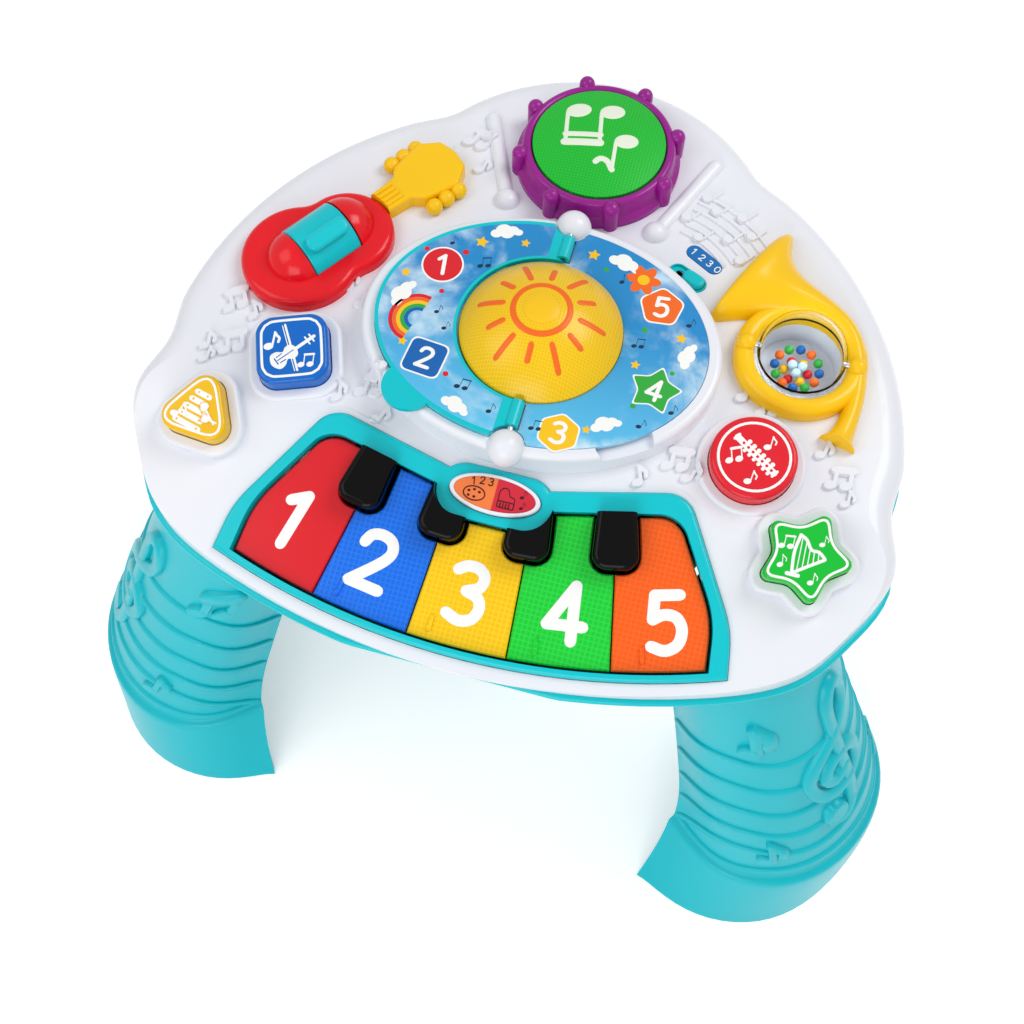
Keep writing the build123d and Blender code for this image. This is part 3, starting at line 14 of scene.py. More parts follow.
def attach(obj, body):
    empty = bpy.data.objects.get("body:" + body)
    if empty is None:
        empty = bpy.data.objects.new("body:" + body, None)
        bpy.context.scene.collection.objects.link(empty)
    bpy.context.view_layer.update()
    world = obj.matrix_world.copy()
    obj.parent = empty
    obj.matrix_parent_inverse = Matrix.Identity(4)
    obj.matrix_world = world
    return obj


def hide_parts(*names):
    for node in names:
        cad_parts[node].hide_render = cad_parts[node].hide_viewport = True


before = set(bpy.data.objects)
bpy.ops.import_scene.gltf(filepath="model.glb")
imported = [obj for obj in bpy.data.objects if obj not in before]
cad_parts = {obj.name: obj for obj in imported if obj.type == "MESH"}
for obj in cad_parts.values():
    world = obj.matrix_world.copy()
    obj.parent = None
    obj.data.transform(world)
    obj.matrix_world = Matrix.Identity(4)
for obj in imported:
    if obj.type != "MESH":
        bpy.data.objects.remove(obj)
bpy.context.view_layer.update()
scene = bpy.context.scene

MIDDLE_Y = -45.23676        # the outline's centre lies this far from the frame's origin
SLOPE = radians(15.0)
UP = Vector((0, 0, 1))
ACROSS = Vector((1, 0, 0))


def at(x, y, z):
    """A place of the table in millimetres from the outline's centre, in metres."""
    return Vector((x / 1000, (y + MIDDLE_Y) / 1000, z / 1000))


# ---- materials
def linear(code):
    """sRGB hex to linear colour."""
    parts = [int(code[i:i + 2], 16) / 255 for i in (1, 3, 5)]
    return tuple(c / 12.92 if c <= 0.04045 else ((c + 0.055) / 1.055) ** 2.4 for c in parts) + (1.0,)


def give(tree, node, inputs):
    """Fills a node's inputs; each is a value or another node's output."""
    for name, value in inputs.items():
        if isinstance(value, bpy.types.NodeSocket):
            tree.links.new(value, node.inputs[name])
        else:
            node.inputs[name].default_value = value


def add(tree, kind, settings=(), inputs=()):
    """Adds a node with its settings and inputs."""
    new = tree.nodes.new(kind)
    for name, value in dict(settings).items():
        setattr(new, name, value)
    give(tree, new, dict(inputs))
    return new


def noise(tree, place, size_mm, **more):
    return add(tree, "ShaderNodeTexNoise", (),
               {"Vector": place, "Scale": 1000 / size_mm, **more}).outputs["Fac"]


def mapped(tree, value, low=0.0, high=1.0, start=0.0, end=1.0, kind="LINEAR"):
    """Takes a value from start and end to low and high."""
    return add(tree, "ShaderNodeMapRange", {"interpolation_type": kind},
               {"Value": value, "From Min": start, "From Max": end, "To Min": low, "To Max": high}).outputs[0]


def blend(tree, share, first, second):
    """Mixes two colours."""
    return add(tree, "ShaderNodeMix", {"data_type": "RGBA"},
               {"Factor": share, 6: first, 7: second}).outputs[2]


def bumped(tree, height, strength, distance):
    return add(tree, "ShaderNodeBump", (),
               {"Height": height, "Strength": strength, "Distance": distance}).outputs["Normal"]


def new_finish(name):
    """A new material with its tree, its shader and the place on the piece."""
    material = bpy.data.materials.new(name)
    material.use_nodes = True
    tree = material.node_tree
    return material, tree, tree.nodes["Principled BSDF"], add(tree, "ShaderNodeTexCoord").outputs["Object"]


# how far apart the tone of a moulding, the haze of the ball and the clouds of the film change
DRIFT_MM, HAZE_MM, CLOUD_MM = 60.0, 14.0, 42.0


def moulded(name, colour, roughness=0.25, drift=0.04, grain_mm=0.6, grain=0.04, lens_mm=0.0, lens=0.35,
            gloss=0.28):
    """Injection-moulded plastic: a slow drift of tone, a fine grain, and on lenses a raised grid whose seams
    are painted paler, a painted highlight.
    """
    material, tree, shader, place = new_finish(name)
    slow = noise(tree, place, DRIFT_MM, Detail=2.0)
    base = linear(colour)
    dark = tuple(c * (1 - drift) for c in base[:3]) + (1.0,)
    light = tuple(min(1.0, c * (1 + drift)) for c in base[:3]) + (1.0,)
    tone = blend(tree, slow, dark, light)
    if lens_mm:
        # moulded lens grid, drawn as coarse as it has to be to show
        height = add(tree, "ShaderNodeTexVoronoi", {"voronoi_dimensions": "2D", "distance": "CHEBYCHEV"},
                     {"Vector": place, "Scale": 1000 / lens_mm, "Randomness": 0.0}).outputs["Distance"]
        # the grid's seams are painted paler than the plastic: a painted highlight where light catches the
        # raised lines
        pale = tuple(min(1.0, c * 1.35 + 0.03) for c in base[:3]) + (1.0,)
        tone = blend(tree, mapped(tree, height, 0.0, 0.6, 0.3, 0.5), tone, pale)
        relief = bumped(tree, height, lens, 0.0004)
    else:
        relief = bumped(tree, noise(tree, place, grain_mm, Detail=3.0), grain, 0.0004)
    give(tree, shader, {"Base Color": tone, "Normal": relief, "IOR": 1.5, "Specular IOR Level": gloss,
                        "Roughness": mapped(tree, slow, roughness * 0.85, roughness * 1.2)})
    return material


def metal(name, colour, roughness, grain_mm):
    """Drawn steel wire and pins: a fine grain breaks up their lights."""
    material, tree, shader, place = new_finish(name)
    relief = bumped(tree, noise(tree, place, grain_mm, Detail=4.0), 0.1, 0.0002)
    give(tree, shader, {"Base Color": linear(colour), "Normal": relief, "Metallic": 1.0,
                        "Roughness": roughness})
    return material


def clear_shell(name):
    """Clear polystyrene: nearly colourless, and it lets the lamps through to what it holds."""
    material, tree, shader, place = new_finish(name)
    give(tree, shader, {"Base Color": linear("#F3F6F8"), "Transmission Weight": 1.0, "IOR": 1.1,
                        "Roughness": mapped(tree, noise(tree, place, HAZE_MM), 0.0, 0.05)})
    through = add(tree, "ShaderNodeBsdfTransparent")
    shade = add(tree, "ShaderNodeLightPath").outputs["Is Shadow Ray"]
    mixed = add(tree, "ShaderNodeMixShader", inputs={0: shade, 1: shader.outputs[0], 2: through.outputs[0]})
    give(tree, tree.nodes["Material Output"], {"Surface": mixed.outputs[0]})
    return material


def sky_film(name):
    """Printed film: a sky that deepens to one side, with soft clouds."""
    material, tree, shader, place = new_finish(name)
    clouds = noise(tree, place, CLOUD_MM, Detail=5.0, Roughness=0.55, Distortion=0.4)
    down = add(tree, "ShaderNodeSeparateXYZ", inputs={"Vector": place}).outputs["Y"]
    blue = blend(tree, mapped(tree, down, start=-0.08, end=0.0), linear("#5CC4EE"), linear("#0A86C8"))
    puffs = mapped(tree, clouds, start=0.47, end=0.68, kind="SMOOTHSTEP")
    give(tree, shader, {"Base Color": blend(tree, puffs, blue, linear("#D3ECF8")), "Roughness": 0.3})
    return material


def split_film(name, left, right):
    """Printed film in two colours that meet on the middle line."""
    material, tree, shader, place = new_finish(name)
    side = add(tree, "ShaderNodeSeparateXYZ", inputs={"Vector": place}).outputs["X"]
    edge = mapped(tree, side, start=-0.0003, end=0.0003)
    give(tree, shader, {"Base Color": blend(tree, edge, linear(left), linear(right)), "Roughness": 0.3})
    return material


def printing_ink(name, colour, roughness=0.35, drift=0.02):
    return moulded(name + " printing ink", colour, roughness, drift, grain=0.01)


def lens_plastic(name, colour, drift):
    return moulded(name + " lens plastic", colour, 0.16, drift, lens_mm=2.4)


# mouldings, solid in colour under a clean gloss
# cool white: soft wide lights along the rolled rim
white_abs = moulded("glossy white ABS", "#E8EAF1", 0.22, drift=0.015)
# bright trim with thin lights on its edges
teal_abs = moulded("glossy teal ABS", "#00C3CD", 0.22)
# a broad dull sheen, so that the relief of the legs reads by its shade
turquoise_abs = moulded("satin turquoise ABS", "#04B9C6", 0.32, grain_mm=1.2, grain=0.08)
# wet-looking red with a sharp light over the roller
red_abs = moulded("glossy red ABS", "#E6101E", 0.18)
# warm yellow with clear lights on the tube and the pegs
yellow_abs = moulded("glossy yellow ABS", "#F9C60E", 0.2)
# deep purple that only shines on its lugs
purple_abs = moulded("glossy purple ABS", "#96188A", 0.2)
# almost a black mirror, with small hard lights
black_abs = moulded("high-gloss black ABS", "#020203", 0.12, drift=0.1, grain=0.01, gloss=0.12)
# plain and opaque: the one key without a lamp
red_key = moulded("opaque red key plastic", "#DC1B26", 0.2)

# lenses of the keys with lamps: colour split into raised squares whose seams are painted paler, a painted
# highlight; coarser than the moulded ones so that they show
blue_lens = lens_plastic("blue", "#0069DE", 0.12)
yellow_lens = lens_plastic("yellow", "#F5C000", 0.1)
green_lens = lens_plastic("green", "#0CC834", 0.12)
orange_lens = lens_plastic("orange", "#FA5C08", 0.1)
# the dome: even in colour, over a finer grid whose seams are painted paler too, a painted highlight
amber_lens = moulded("amber lens plastic", "#EDBC02", 0.2, drift=0.06, lens_mm=1.5, lens=0.25)
# a woven-looking drum head with a dull shine; its grid seams are painted paler, a painted highlight
pad_film = moulded("textured green pad", "#0CB02A", 0.3, drift=0.08, lens_mm=1.6, lens=0.3)

# caps: full even colour under a hard shine
blue_cap = moulded("glossy blue cap", "#0066C4", 0.18)
red_cap = moulded("glossy red cap", "#E01C2C", 0.18)
yellow_cap = moulded("glossy yellow cap", "#EEBB06", 0.18)
green_cap = moulded("glossy green cap", "#0CBE34", 0.18)

# films and inks: flat colour with the soft shine of print
label_film = moulded("blue printed film", "#146FB8", 0.3, grain=0.01)
sky = sky_film("sky printed film")
mode_film = split_film("two-colour printed film", "#F07A38", "#CE1430")
white_ink = printing_ink("white", "#F6F6F4", drift=0.01)
cream_ink = printing_ink("cream", "#E6EEDB", 0.4, 0.01)
navy_ink = printing_ink("navy", "#0B2C4A", 0.4)
maroon_ink = printing_ink("maroon", "#3E0610", 0.4)
red_ink = printing_ink("red", "#D8202B")
orange_ink = printing_ink("orange", "#F06A1E")
yellow_ink = printing_ink("yellow", "#F6C31A")
green_ink = printing_ink("green", "#2FA83C")
blue_ink = printing_ink("blue", "#1262B0")
pale_ink = printing_ink("pale blue", "#BFE2F5")

# what lies inside and below
# cool grey with one soft streak of light
steel = metal("drawn steel", "#C0C2C6", 0.3, 0.8)
# dull and slightly grainy
rubber = moulded("grey silicone rubber", "#8E9092", 0.6, grain_mm=0.4, grain=0.1)
# dark green with the shine of lacquer
solder_mask = moulded("green solder mask", "#1B5F38", 0.35, drift=0.1)
# a smooth dark sleeve
cell_sleeve = moulded("printed cell sleeve", "#3A4250", 0.3, drift=0.1)
# soft black without a shine
cone_paper = moulded("black speaker paper", "#161616", 0.8, grain_mm=0.5, grain=0.3)
# almost unseen but for the lights on its skin
clear_ps = clear_shell("clear polystyrene")

finishes = {
    white_abs: ("top_shell", "mode_button"),
    teal_abs: ("piano_frame", "picture_page", "strum_roller", "switch_bezel", "switch_knob"),
    turquoise_abs: ("leg_front_left", "leg_front_right", "leg_rear", "base_shell", "battery_door"),
    red_abs: ("guitar_body",), yellow_abs: ("guitar_neck", "horn"), purple_abs: ("drum_rim",),
    black_abs: ("black_keys",), red_key: ("key_1",), blue_lens: ("key_2",), yellow_lens: ("key_3",),
    green_lens: ("key_4",), orange_lens: ("key_5",), amber_lens: ("sun_dome",), pad_film: ("drum_pad",),
    blue_cap: ("button_square",), red_cap: ("button_circle",), yellow_cap: ("button_triangle",),
    green_cap: ("button_star",), label_film: ("switch_label",), mode_film: ("mode_label",),
    sky: ("picture_plate",), clear_ps: ("rattle_ball_upper", "rattle_ball_lower"),
    steel: ("ball_pins", "page_pins", "roller_axle", "key_rod", "housing_screws", "door_screw",
            "battery_contacts"),
    rubber: ("rubber_dome_circle", "rubber_dome_drum", "rubber_dome_square", "rubber_dome_star",
             "rubber_dome_triangle", "rubber_domes_mode", "key_domes"),
    solder_mask: ("circuit_board", "key_board", "lamp_board"), cell_sleeve: ("batteries",),
    cone_paper: ("speaker",),
}
for material, names in finishes.items():
    for name in names:
        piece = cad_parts[name]
        if not piece.material_slots:
            piece.data.materials.append(material)
        for slot in piece.material_slots:
            slot.material = material


# ---- drawing on the mouldings
trees = {}


def surface(name):
    """The moulding's surface, for dropping points onto it."""
    if name not in trees:
        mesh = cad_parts[name].data
        trees[name] = BVHTree.FromPolygons([v.co.copy() for v in mesh.vertices],
                                           [tuple(p.vertices) for p in mesh.polygons])
    return trees[name]


class Field:
    """A flat field in millimetres; its points drop along the normal onto a moulding."""

    def __init__(self, origin, along=ACROSS, normal=UP, onto=None):
        self.origin = origin
        self.along = along.normalized()
        self.normal = normal.normalized()
        self.aside = self.normal.cross(self.along)
        self.onto = surface(onto) if onto else None

    def put(self, u, v, height):
        point = self.origin + (self.along * u + self.aside * v) / 1000
        if self.onto:
            hit = self.onto.ray_cast(point + self.normal * 0.03, -self.normal, 0.07)[0]
            point = hit if hit else point
        return point + self.normal * height / 1000


class Shifted:
    """A part of a field, moved, turned and scaled."""

    def __init__(self, field, u=0.0, v=0.0, turn=0.0, scale=1.0):
        self.field, self.u, self.v, self.scale = field, u, v, scale
        self.c, self.s = cos(radians(turn)), sin(radians(turn))

    def put(self, u, v, height):
        u, v = u * self.scale, v * self.scale
        return self.field.put(self.u + u * self.c - v * self.s, self.v + u * self.s + v * self.c, height)


def runs_between_corners(points):
    """Cuts a path at its corners, which are its doubled points."""
    runs, run = [], [points[0]]
    for before, after in zip(points, points[1:]):
        if before == after:
            runs.append(run)
            run = [after]
        else:
            run.append(after)
    return [kept for kept in runs + [run] if len(kept) > 1]


def curve_through(run, step=1.2, closed=False):
    """A smooth path through the points."""
    path = []
    for i in range(len(run) if closed else len(run) - 1):
        if closed:
            p0, p1, p2, p3 = (Vector(run[(i + k) % len(run)]) for k in (-1, 0, 1, 2))
        else:
            p1, p2 = Vector(run[i]), Vector(run[i + 1])
            p0 = Vector(run[i - 1]) if i else p1 * 2 - p2
            p3 = Vector(run[i + 2]) if i + 2 < len(run) else p2 * 2 - p1
        parts = max(1, round((p2 - p1).length / step))
        for k in range(parts):
            t = k / parts
            path.append(0.5 * ((2 * p1) + (p2 - p0) * t + (2 * p0 - 5 * p1 + 4 * p2 - p3) * t * t
                               + (3 * p1 - p0 - 3 * p2 + p3) * t ** 3))
    if not closed:
        path.append(Vector(run[-1]))
    kept = [path[0]]
    for point in path[1:]:
        if (point - kept[-1]).length > 0.05:
            kept.append(point)
    return kept


# a stroke's section: places across it, as shares of half its width, with shares of its rise
SECTION = ((-1, None), (-0.97, 0.55), (-0.72, 1.0), (0.72, 1.0), (0.97, 0.55), (1, None))
ROUND_END = (35, 62, 85)    # degrees of the steps in a stroke's round end
SUNK = -0.2                 # how far a raised shape reaches into what carries it


def settle(shape, name, material, body, slot=None, smooth=40.0):
    """Makes a piece of a shape, and lets it ride on its body."""
    bmesh.ops.recalc_face_normals(shape, faces=shape.faces)
    mesh = bpy.data.meshes.new(name)
    shape.to_mesh(mesh)
    shape.free()
    for face in mesh.polygons:
        face.use_smooth = True
    mesh.set_sharp_from_angle(angle=radians(smooth))
    mesh.materials.append(material)
    piece = bpy.data.objects.new(name, mesh)
    scene.collection.objects.link(piece)
    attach(piece, body)
    return piece


class Drawing:
    """Raised strokes and shapes that become one piece."""

    def __init__(self, name, material, body, slot=None, lift=0.013):
        self.name, self.material, self.body, self.slot, self.lift = name, material, body, slot, lift
        self.mesh = bmesh.new()
        self.laid = 0

    def stacked(self, rise):
        """Shapes that cross lie a hair over each other."""
        self.laid += 1
        return rise + self.lift * (self.laid % 9)

    def rings(self, rings, closed=False):
        """Joins closed rings of points, with a face at each free end."""
        rows = [[self.mesh.verts.new(p) for p in ring] for ring in rings]
        size = len(rows[0])
        pairs = list(zip(rows, rows[1:])) + ([(rows[-1], rows[0])] if closed else [])
        for low, high in pairs:
            for k in range(size):
                self.mesh.faces.new((low[k], low[(k + 1) % size], high[(k + 1) % size], high[k]))
        if not closed:
            self.mesh.faces.new(rows[0][::-1])
            self.mesh.faces.new(rows[-1])

    def stroke(self, field, points, width, rise, closed=False, step=1.2, ends=True):
        if not closed:
            runs = runs_between_corners(points)
            if len(runs) > 1:
                for run in runs:
                    self.stroke(field, run, width, rise, False, step, ends)
                return
            points = runs[0]
        rise = self.stacked(rise)
        path = curve_through(points, step, closed)
        if closed and (path[0] - path[-1]).length < 0.3 * step:
            path.pop()
        count = len(path)
        rows = []
        for i, point in enumerate(path):
            before = path[(i - 1) % count] if closed or i else point
            after = path[(i + 1) % count] if closed or i < count - 1 else point
            way = (after - before).normalized()
            rows.append((point, way, 1.0))
        if not closed and ends:
            first, last = rows[0], rows[-1]
            for turn in ROUND_END:
                out, narrow = sin(radians(turn)) * width / 2, cos(radians(turn))
                rows.insert(0, (first[0] - first[1] * out, first[1], narrow))
                rows.append((last[0] + last[1] * out, last[1], narrow))
        rings = []
        for point, way, narrow in rows:
            side = Vector((-way.y, way.x)) * width / 2 * narrow
            rings.append([field.put(point.x + side.x * a, point.y + side.y * a,
                                    SUNK if h is None else rise * h) for a, h in SECTION])
        self.rings(rings, closed)

    def shape(self, field, outline, rise, middle=None):
        """A raised shape whose outline can be seen whole from its middle."""
        if middle is None:
            middle = (sum(p[0] for p in outline) / len(outline), sum(p[1] for p in outline) / len(outline))
        rise = self.stacked(rise)
        size = max(hypot(p[0] - middle[0], p[1] - middle[1]) for p in outline)
        lip = min(0.2, 0.35 / size)
        levels = ((0.4, SUNK), (1.0, SUNK), (1.0, rise * 0.6), (1.0 - lip, rise), (0.66, rise),
                  (0.33, rise), (0.04, rise))
        self.rings([[field.put(middle[0] + (p[0] - middle[0]) * k, middle[1] + (p[1] - middle[1]) * k, h)
                     for p in outline] for k, h in levels])

    def note(self, field, u, v, size=9.0, turn=0.0, rise=0.25, pair=False, bold=1.0):
        """A quaver, or a pair joined by a beam; size is its height."""
        place = Shifted(field, u, v, turn, size / 10)
        thick = bold * size / 10
        for x, y in ((0, 0), (7.0, 1.0)) if pair else ((0, 0),):
            self.shape(Shifted(place, x, y, 22), oval(2.4 + 0.3 * bold, 1.7 + 0.3 * bold, 18), rise)
            self.stroke(place, ((x + 2.0, y + 0.4), (x + 2.0, y + 9.0)), thick, rise, step=3)
        if pair:
            self.stroke(place, ((2.0, 8.6), (9.0, 9.6)), thick * 2.1, rise, step=3)
        else:
            self.stroke(place, ((2.0, 9.0), (3.6, 7.2), (5.2, 6.0), (5.0, 3.6)), thick * 1.25, rise)

    def notes(self, field, spots, rise, bold=1.0):
        for u, v, size, turn, pair in spots:
            self.note(field, u, v, size, turn, rise, pair, bold)

    def done(self, smooth=40.0):
        """Makes the piece of what was drawn."""
        return settle(self.mesh, self.name, self.material, self.body, self.slot, smooth)


def oval(a, b, count=32, x=0.0, y=0.0):
    return [(x + a * cos(2 * pi * k / count), y + b * sin(2 * pi * k / count)) for k in range(count)]


def polygon(sides, reach, corner=0.25, first=90.0):
    """A polygon with rounded corners, seen from its middle."""
    tips = [(reach * cos(radians(first + 360 * k / sides)), reach * sin(radians(first + 360 * k / sides)))
            for k in range(sides)]
    return rounded(tips, corner)


def rounded(tips, corner=0.25, parts=5):
    """Rounds each corner of an outline by cutting it at a share of its sides."""
    outline = []
    for k, tip in enumerate(tips):
        tip, before, after = Vector(tip), Vector(tips[k - 1]), Vector(tips[(k + 1) % len(tips)])
        start, end = tip.lerp(before, corner), tip.lerp(after, corner)
        for i in range(parts + 1):
            t = i / parts
            outline.append(tuple(start * (1 - t) ** 2 + tip * 2 * t * (1 - t) + end * t * t))
    return outline


def star(tip, dent, points=5, first=90.0, corner=0.2):
    tips = []
    for k in range(2 * points):
        reach = tip if k % 2 == 0 else dent
        turn = radians(first + 180 * k / points)
        tips.append((reach * cos(turn), reach * sin(turn)))
    return rounded(tips, corner)


# numerals drawn by their middle line; a doubled point is a corner
DRAWN_HEIGHT = 23.0
NUMERALS = {
    "1": [[(-4.4, 6.6), (1.4, 11.4), (1.4, 11.4), (1.4, -11.4)]],
    "2": [[(-6.3, 6.4), (-4.6, 10.0), (-0.4, 11.5), (4.2, 10.3), (6.2, 6.6), (5.0, 2.6), (1.0, -2.6),
           (-6.4, -10.8), (-6.4, -10.8), (6.8, -10.8)]],
    "3": [[(-6.0, 9.2), (-2.4, 11.4), (2.4, 11.2), (5.4, 8.2), (4.4, 3.6), (-0.6, 1.2), (-0.6, 1.2),
           (4.6, -0.6), (6.4, -4.8), (4.4, -9.6), (-0.8, -11.4), (-6.4, -9.4)]],
    "4": [[(3.2, -11.4), (3.2, 11.2), (3.2, 11.2), (-7.2, -5.2), (-7.2, -5.2), (7.4, -5.2)]],
    "5": [[(6.0, 11.2), (-4.0, 11.2), (-4.0, 11.2), (-5.2, 1.4), (-5.2, 1.4), (-0.6, 3.2), (4.2, 2.0),
           (6.4, -2.8), (4.6, -8.8), (-0.6, -11.4), (-6.2, -9.6)]],
}


def numeral(drawing, field, figure, height, rise, weight=0.2):
    """A figure of that height; weight is its stroke's width as a share of DRAWN_HEIGHT."""
    place = Shifted(field, scale=height / DRAWN_HEIGHT)
    for line in NUMERALS[figure]:
        drawing.stroke(place, line, weight * DRAWN_HEIGHT, rise)


# ---- keys
FAN_SETBACK = 367.5         # the keys fan out from a centre this far up the slope
PIP_REACH = 354.0           # and carry their pips this far from it
bed_up = Vector((0, -sin(SLOPE), cos(SLOPE)))
uphill = Vector((0, cos(SLOPE), sin(SLOPE)))
bed_origin = at(0, -128.0, 229.0)
key_field = Field(bed_origin, ACROSS, bed_up)


def fanned(x, y):
    """A place on the keys, turned with the fan."""
    return Shifted(key_field, x, y, degrees(atan2(x, FAN_SETBACK - y)))


for figure, x, y in (("1", -91.0, 45.0), ("2", -48.0, 35.0), ("3", -1.0, 31.0), ("4", 45.5, 34.0),
                     ("5", 91.0, 41.0)):
    drawing = Drawing("numeral_" + figure, white_ink, "key_" + figure)
    numeral(drawing, fanned(x, y), figure, 26.0, 0.22, 0.215)
    drawing.done()

# a moulded pip near the front of each lit key
for figure, x, lens in (("2", -60.0, blue_lens), ("3", -14.0, yellow_lens), ("4", 36.0, green_lens),
                        ("5", 84.0, orange_lens)):
    drawing = Drawing("key_pip_" + figure, lens, "key_" + figure)
    place = fanned(x, FAN_SETBACK - (PIP_REACH ** 2 - x ** 2) ** 0.5)
    drawing.stroke(place, ((0, -2.6), (0, 2.4)), 2.6, 1.1)
    drawing.done()

# ---- mode button
THIN = 0.12                 # rise of the small print
mode_field = Field(bed_origin + uphill * 0.0786 + bed_up * 0.0052, ACROSS, bed_up, "mode_label")
drawing = Drawing("mode_signs", maroon_ink, "mode_button")
for figure, x, y, turn in (("1", -11.2, 4.2, 10), ("2", -7.2, 5.2, 4), ("3", -3.0, 5.3, 0)):
    numeral(drawing, Shifted(mode_field, x, y, turn), figure, 3.4, THIN, 0.17)
drawing.stroke(Shifted(mode_field, -9.5, -1.6), oval(5.2, 3.3, 14), 0.6, THIN, closed=True)
for x, y in ((-12.2, -0.8), (-9.8, 0.2), (-7.2, -0.6), (-12.0, -3.0), (-9.2, -3.2)):
    drawing.shape(mode_field, oval(0.75, 0.6, 12, x, y), THIN)
keybed = [(2.2, -5.2), (10.0, -5.2), (10.0, -2.2), (2.2, -2.2)]
drawing.stroke(mode_field, rounded(keybed, 0.1, 2), 0.55, THIN, closed=True)
for x in (3.6, 5.0, 6.4, 7.8):
    drawing.stroke(mode_field, ((x, -5.0), (x, -3.0)), 0.6, THIN, step=2)
piano_lid = ((2.2, -2.2), (2.3, 2.6), (4.4, 4.2), (6.4, 3.2), (7.2, 0.8), (9.6, 0.2), (10.0, -2.2))
drawing.stroke(mode_field, piano_lid, 0.55, THIN)
drawing.notes(mode_field, ((12.8, 1.6, 3.8, 0, False), (13.6, -3.4, 3.4, 0, False)), THIN)
drawing.done()

# ---- buttons
CAP_PROUD = 0.009           # a cap's top over its pod
INK = 0.2                   # rise of the print on the caps
MARK = 0.32                 # and of the marks on that print
# where each pod's top lies, and its tilt to the player
buttons = {
    "button_square": (at(-113, -9, 259.0), 8.0),
    "button_circle": (at(112, -8, 259.0), 8.0),
    "button_triangle": (at(-146, -50, 256.0), 15.0),
    "button_star": (at(144, -48, 256.0), 15.0),
}


def cap_field(name, turned=0.0):
    """The field on a cap's top; its v runs up the slope unless it is turned."""
    origin, tilt = buttons[name]
    normal = Vector((0, -sin(radians(tilt)), cos(radians(tilt))))
    rising = Vector((0, cos(radians(tilt)), sin(radians(tilt))))
    along = ACROSS * cos(radians(turned)) + rising * sin(radians(turned))
    return Field(origin + normal * CAP_PROUD, along, normal)


# the square button: a violin with its bow
field = cap_field("button_square", 20)
drawing = Drawing("square_signs", white_ink, "button_square")
corners = [(-14.4, -14.4), (14.4, -14.4), (14.4, 14.4), (-14.4, 14.4)]
drawing.stroke(field, rounded(corners, 0.27, 4), 1.3, INK, closed=True, step=2)
violin = Shifted(field, -3.4, -4.2, -58)
body_line = [(0, 6.8), (3.2, 5.6), (3.7, 2.6), (2.3, 0.4), (4.2, -2.2), (4.2, -5.6), (0, -7.6),
             (-4.2, -5.6), (-4.2, -2.2), (-2.3, 0.4), (-3.7, 2.6), (-3.2, 5.6)]
drawing.shape(violin, [tuple(p) for p in curve_through(body_line, 1.0, True)], INK, (0, -0.4))
drawing.stroke(violin, ((0, 6.0), (0, 17.0)), 1.7, INK)
for y in (13.2, 15.6):
    drawing.stroke(violin, ((-2.1, y), (2.1, y)), 0.9, INK)
drawing.stroke(field, ((-2.6, 12.0), (2.4, -12.0)), 1.1, INK)
drawing.stroke(field, ((-3.9, 11.6), (1.1, -12.2)), 0.5, INK)
drawing.note(field, -11.0, 1.6, 8.4, -14, INK, bold=1.5)
drawing.note(field, 4.2, -9.4, 6.2, -10, INK, pair=True, bold=1.4)
drawing.done()
drawing = Drawing("violin_marks", blue_cap, "button_square")
for x in (-1.9, 1.9):
    drawing.stroke(violin, ((x, -0.6), (x * 0.9, -3.6)), 0.55, MARK)
drawing.stroke(violin, ((-1.6, -4.8), (1.6, -4.8)), 0.7, MARK)
drawing.stroke(violin, ((0, 5.0), (0, -4.0)), 0.5, MARK)
drawing.done()

# the circle button: a flute
field = cap_field("button_circle")
drawing = Drawing("circle_signs", white_ink, "button_circle")
drawing.stroke(field, oval(16.6, 16.6, 40), 1.3, INK, closed=True, step=3)
flute = Shifted(field, 0.4, 1.0, -34)
drawing.stroke(flute, ((-11.6, 0), (11.8, 0)), 3.3, INK)
drawing.stroke(flute, ((-12.2, -1.4), (-12.2, 1.4)), 1.6, INK)
drawing.stroke(flute, ((12.4, -1.6), (12.4, 1.6)), 1.4, INK)
for k in range(6):
    drawing.shape(flute, oval(1.1, 1.1, 12, -6.4 + 3.0 * k, 2.5), INK)
    drawing.shape(flute, oval(0.9, 0.9, 12, -5.0 + 3.0 * k, -2.3), INK)
drawing.notes(field, ((4.8, 6.0, 6.4, -4, False), (-10.8, -4.6, 6.6, 16, True),
                      (-0.6, -12.4, 6.4, -6, False)), INK, 1.5)
drawing.done()
drawing = Drawing("flute_holes", red_cap, "button_circle")
for k in range(7):
    drawing.shape(flute, oval(0.75, 0.75, 12, -7.8 + 3.0 * k, 0), MARK)
drawing.done()

# the triangle button: a row of chime bars with two mallets
field = cap_field("button_triangle")
drawing = Drawing("triangle_signs", white_ink, "button_triangle")
tips = [(20.6 * cos(radians(a)), 20.6 * sin(radians(a))) for a in (85, 205, 325)]
drawing.stroke(field, rounded(tips, 0.34, 7), 1.2, INK, closed=True, step=2.5)
bars = Shifted(field, -0.8, -0.6, -14)
bar_rows = [(-7.6 + 4.0 * k, 6.2 - 0.75 * k) for k in range(5)]
for y, reach in bar_rows:
    drawing.stroke(bars, ((-reach, y), (reach, y)), 2.9, INK, step=2)
drawing.done()
drawing = Drawing("triangle_mallets", white_ink, "button_triangle")
OVER_BARS = INK + 0.3
mallets = ((3.4, 1.8, 10.0, -5.2), (5.6, -3.6, 11.0, -4.4))
for x, y, far_x, far_y in mallets:
    drawing.stroke(field, ((x, y), (far_x, far_y)), 1.0, OVER_BARS)
    drawing.shape(field, oval(1.9, 1.9, 16, x, y), OVER_BARS)
drawing.note(field, -9.8, -4.4, 7.4, -18, OVER_BARS, bold=1.5)
drawing.done()
drawing = Drawing("bar_marks", yellow_cap, "button_triangle")
for y, reach in bar_rows:
    for side in (-1, 1):
        drawing.shape(bars, oval(0.6, 0.6, 10, side * (reach - 0.8), y), MARK)
for x, y, *_ in mallets:
    drawing.stroke(Shifted(field, x, y), oval(2.5, 2.5, 16), 0.5, MARK, closed=True)
drawing.done()

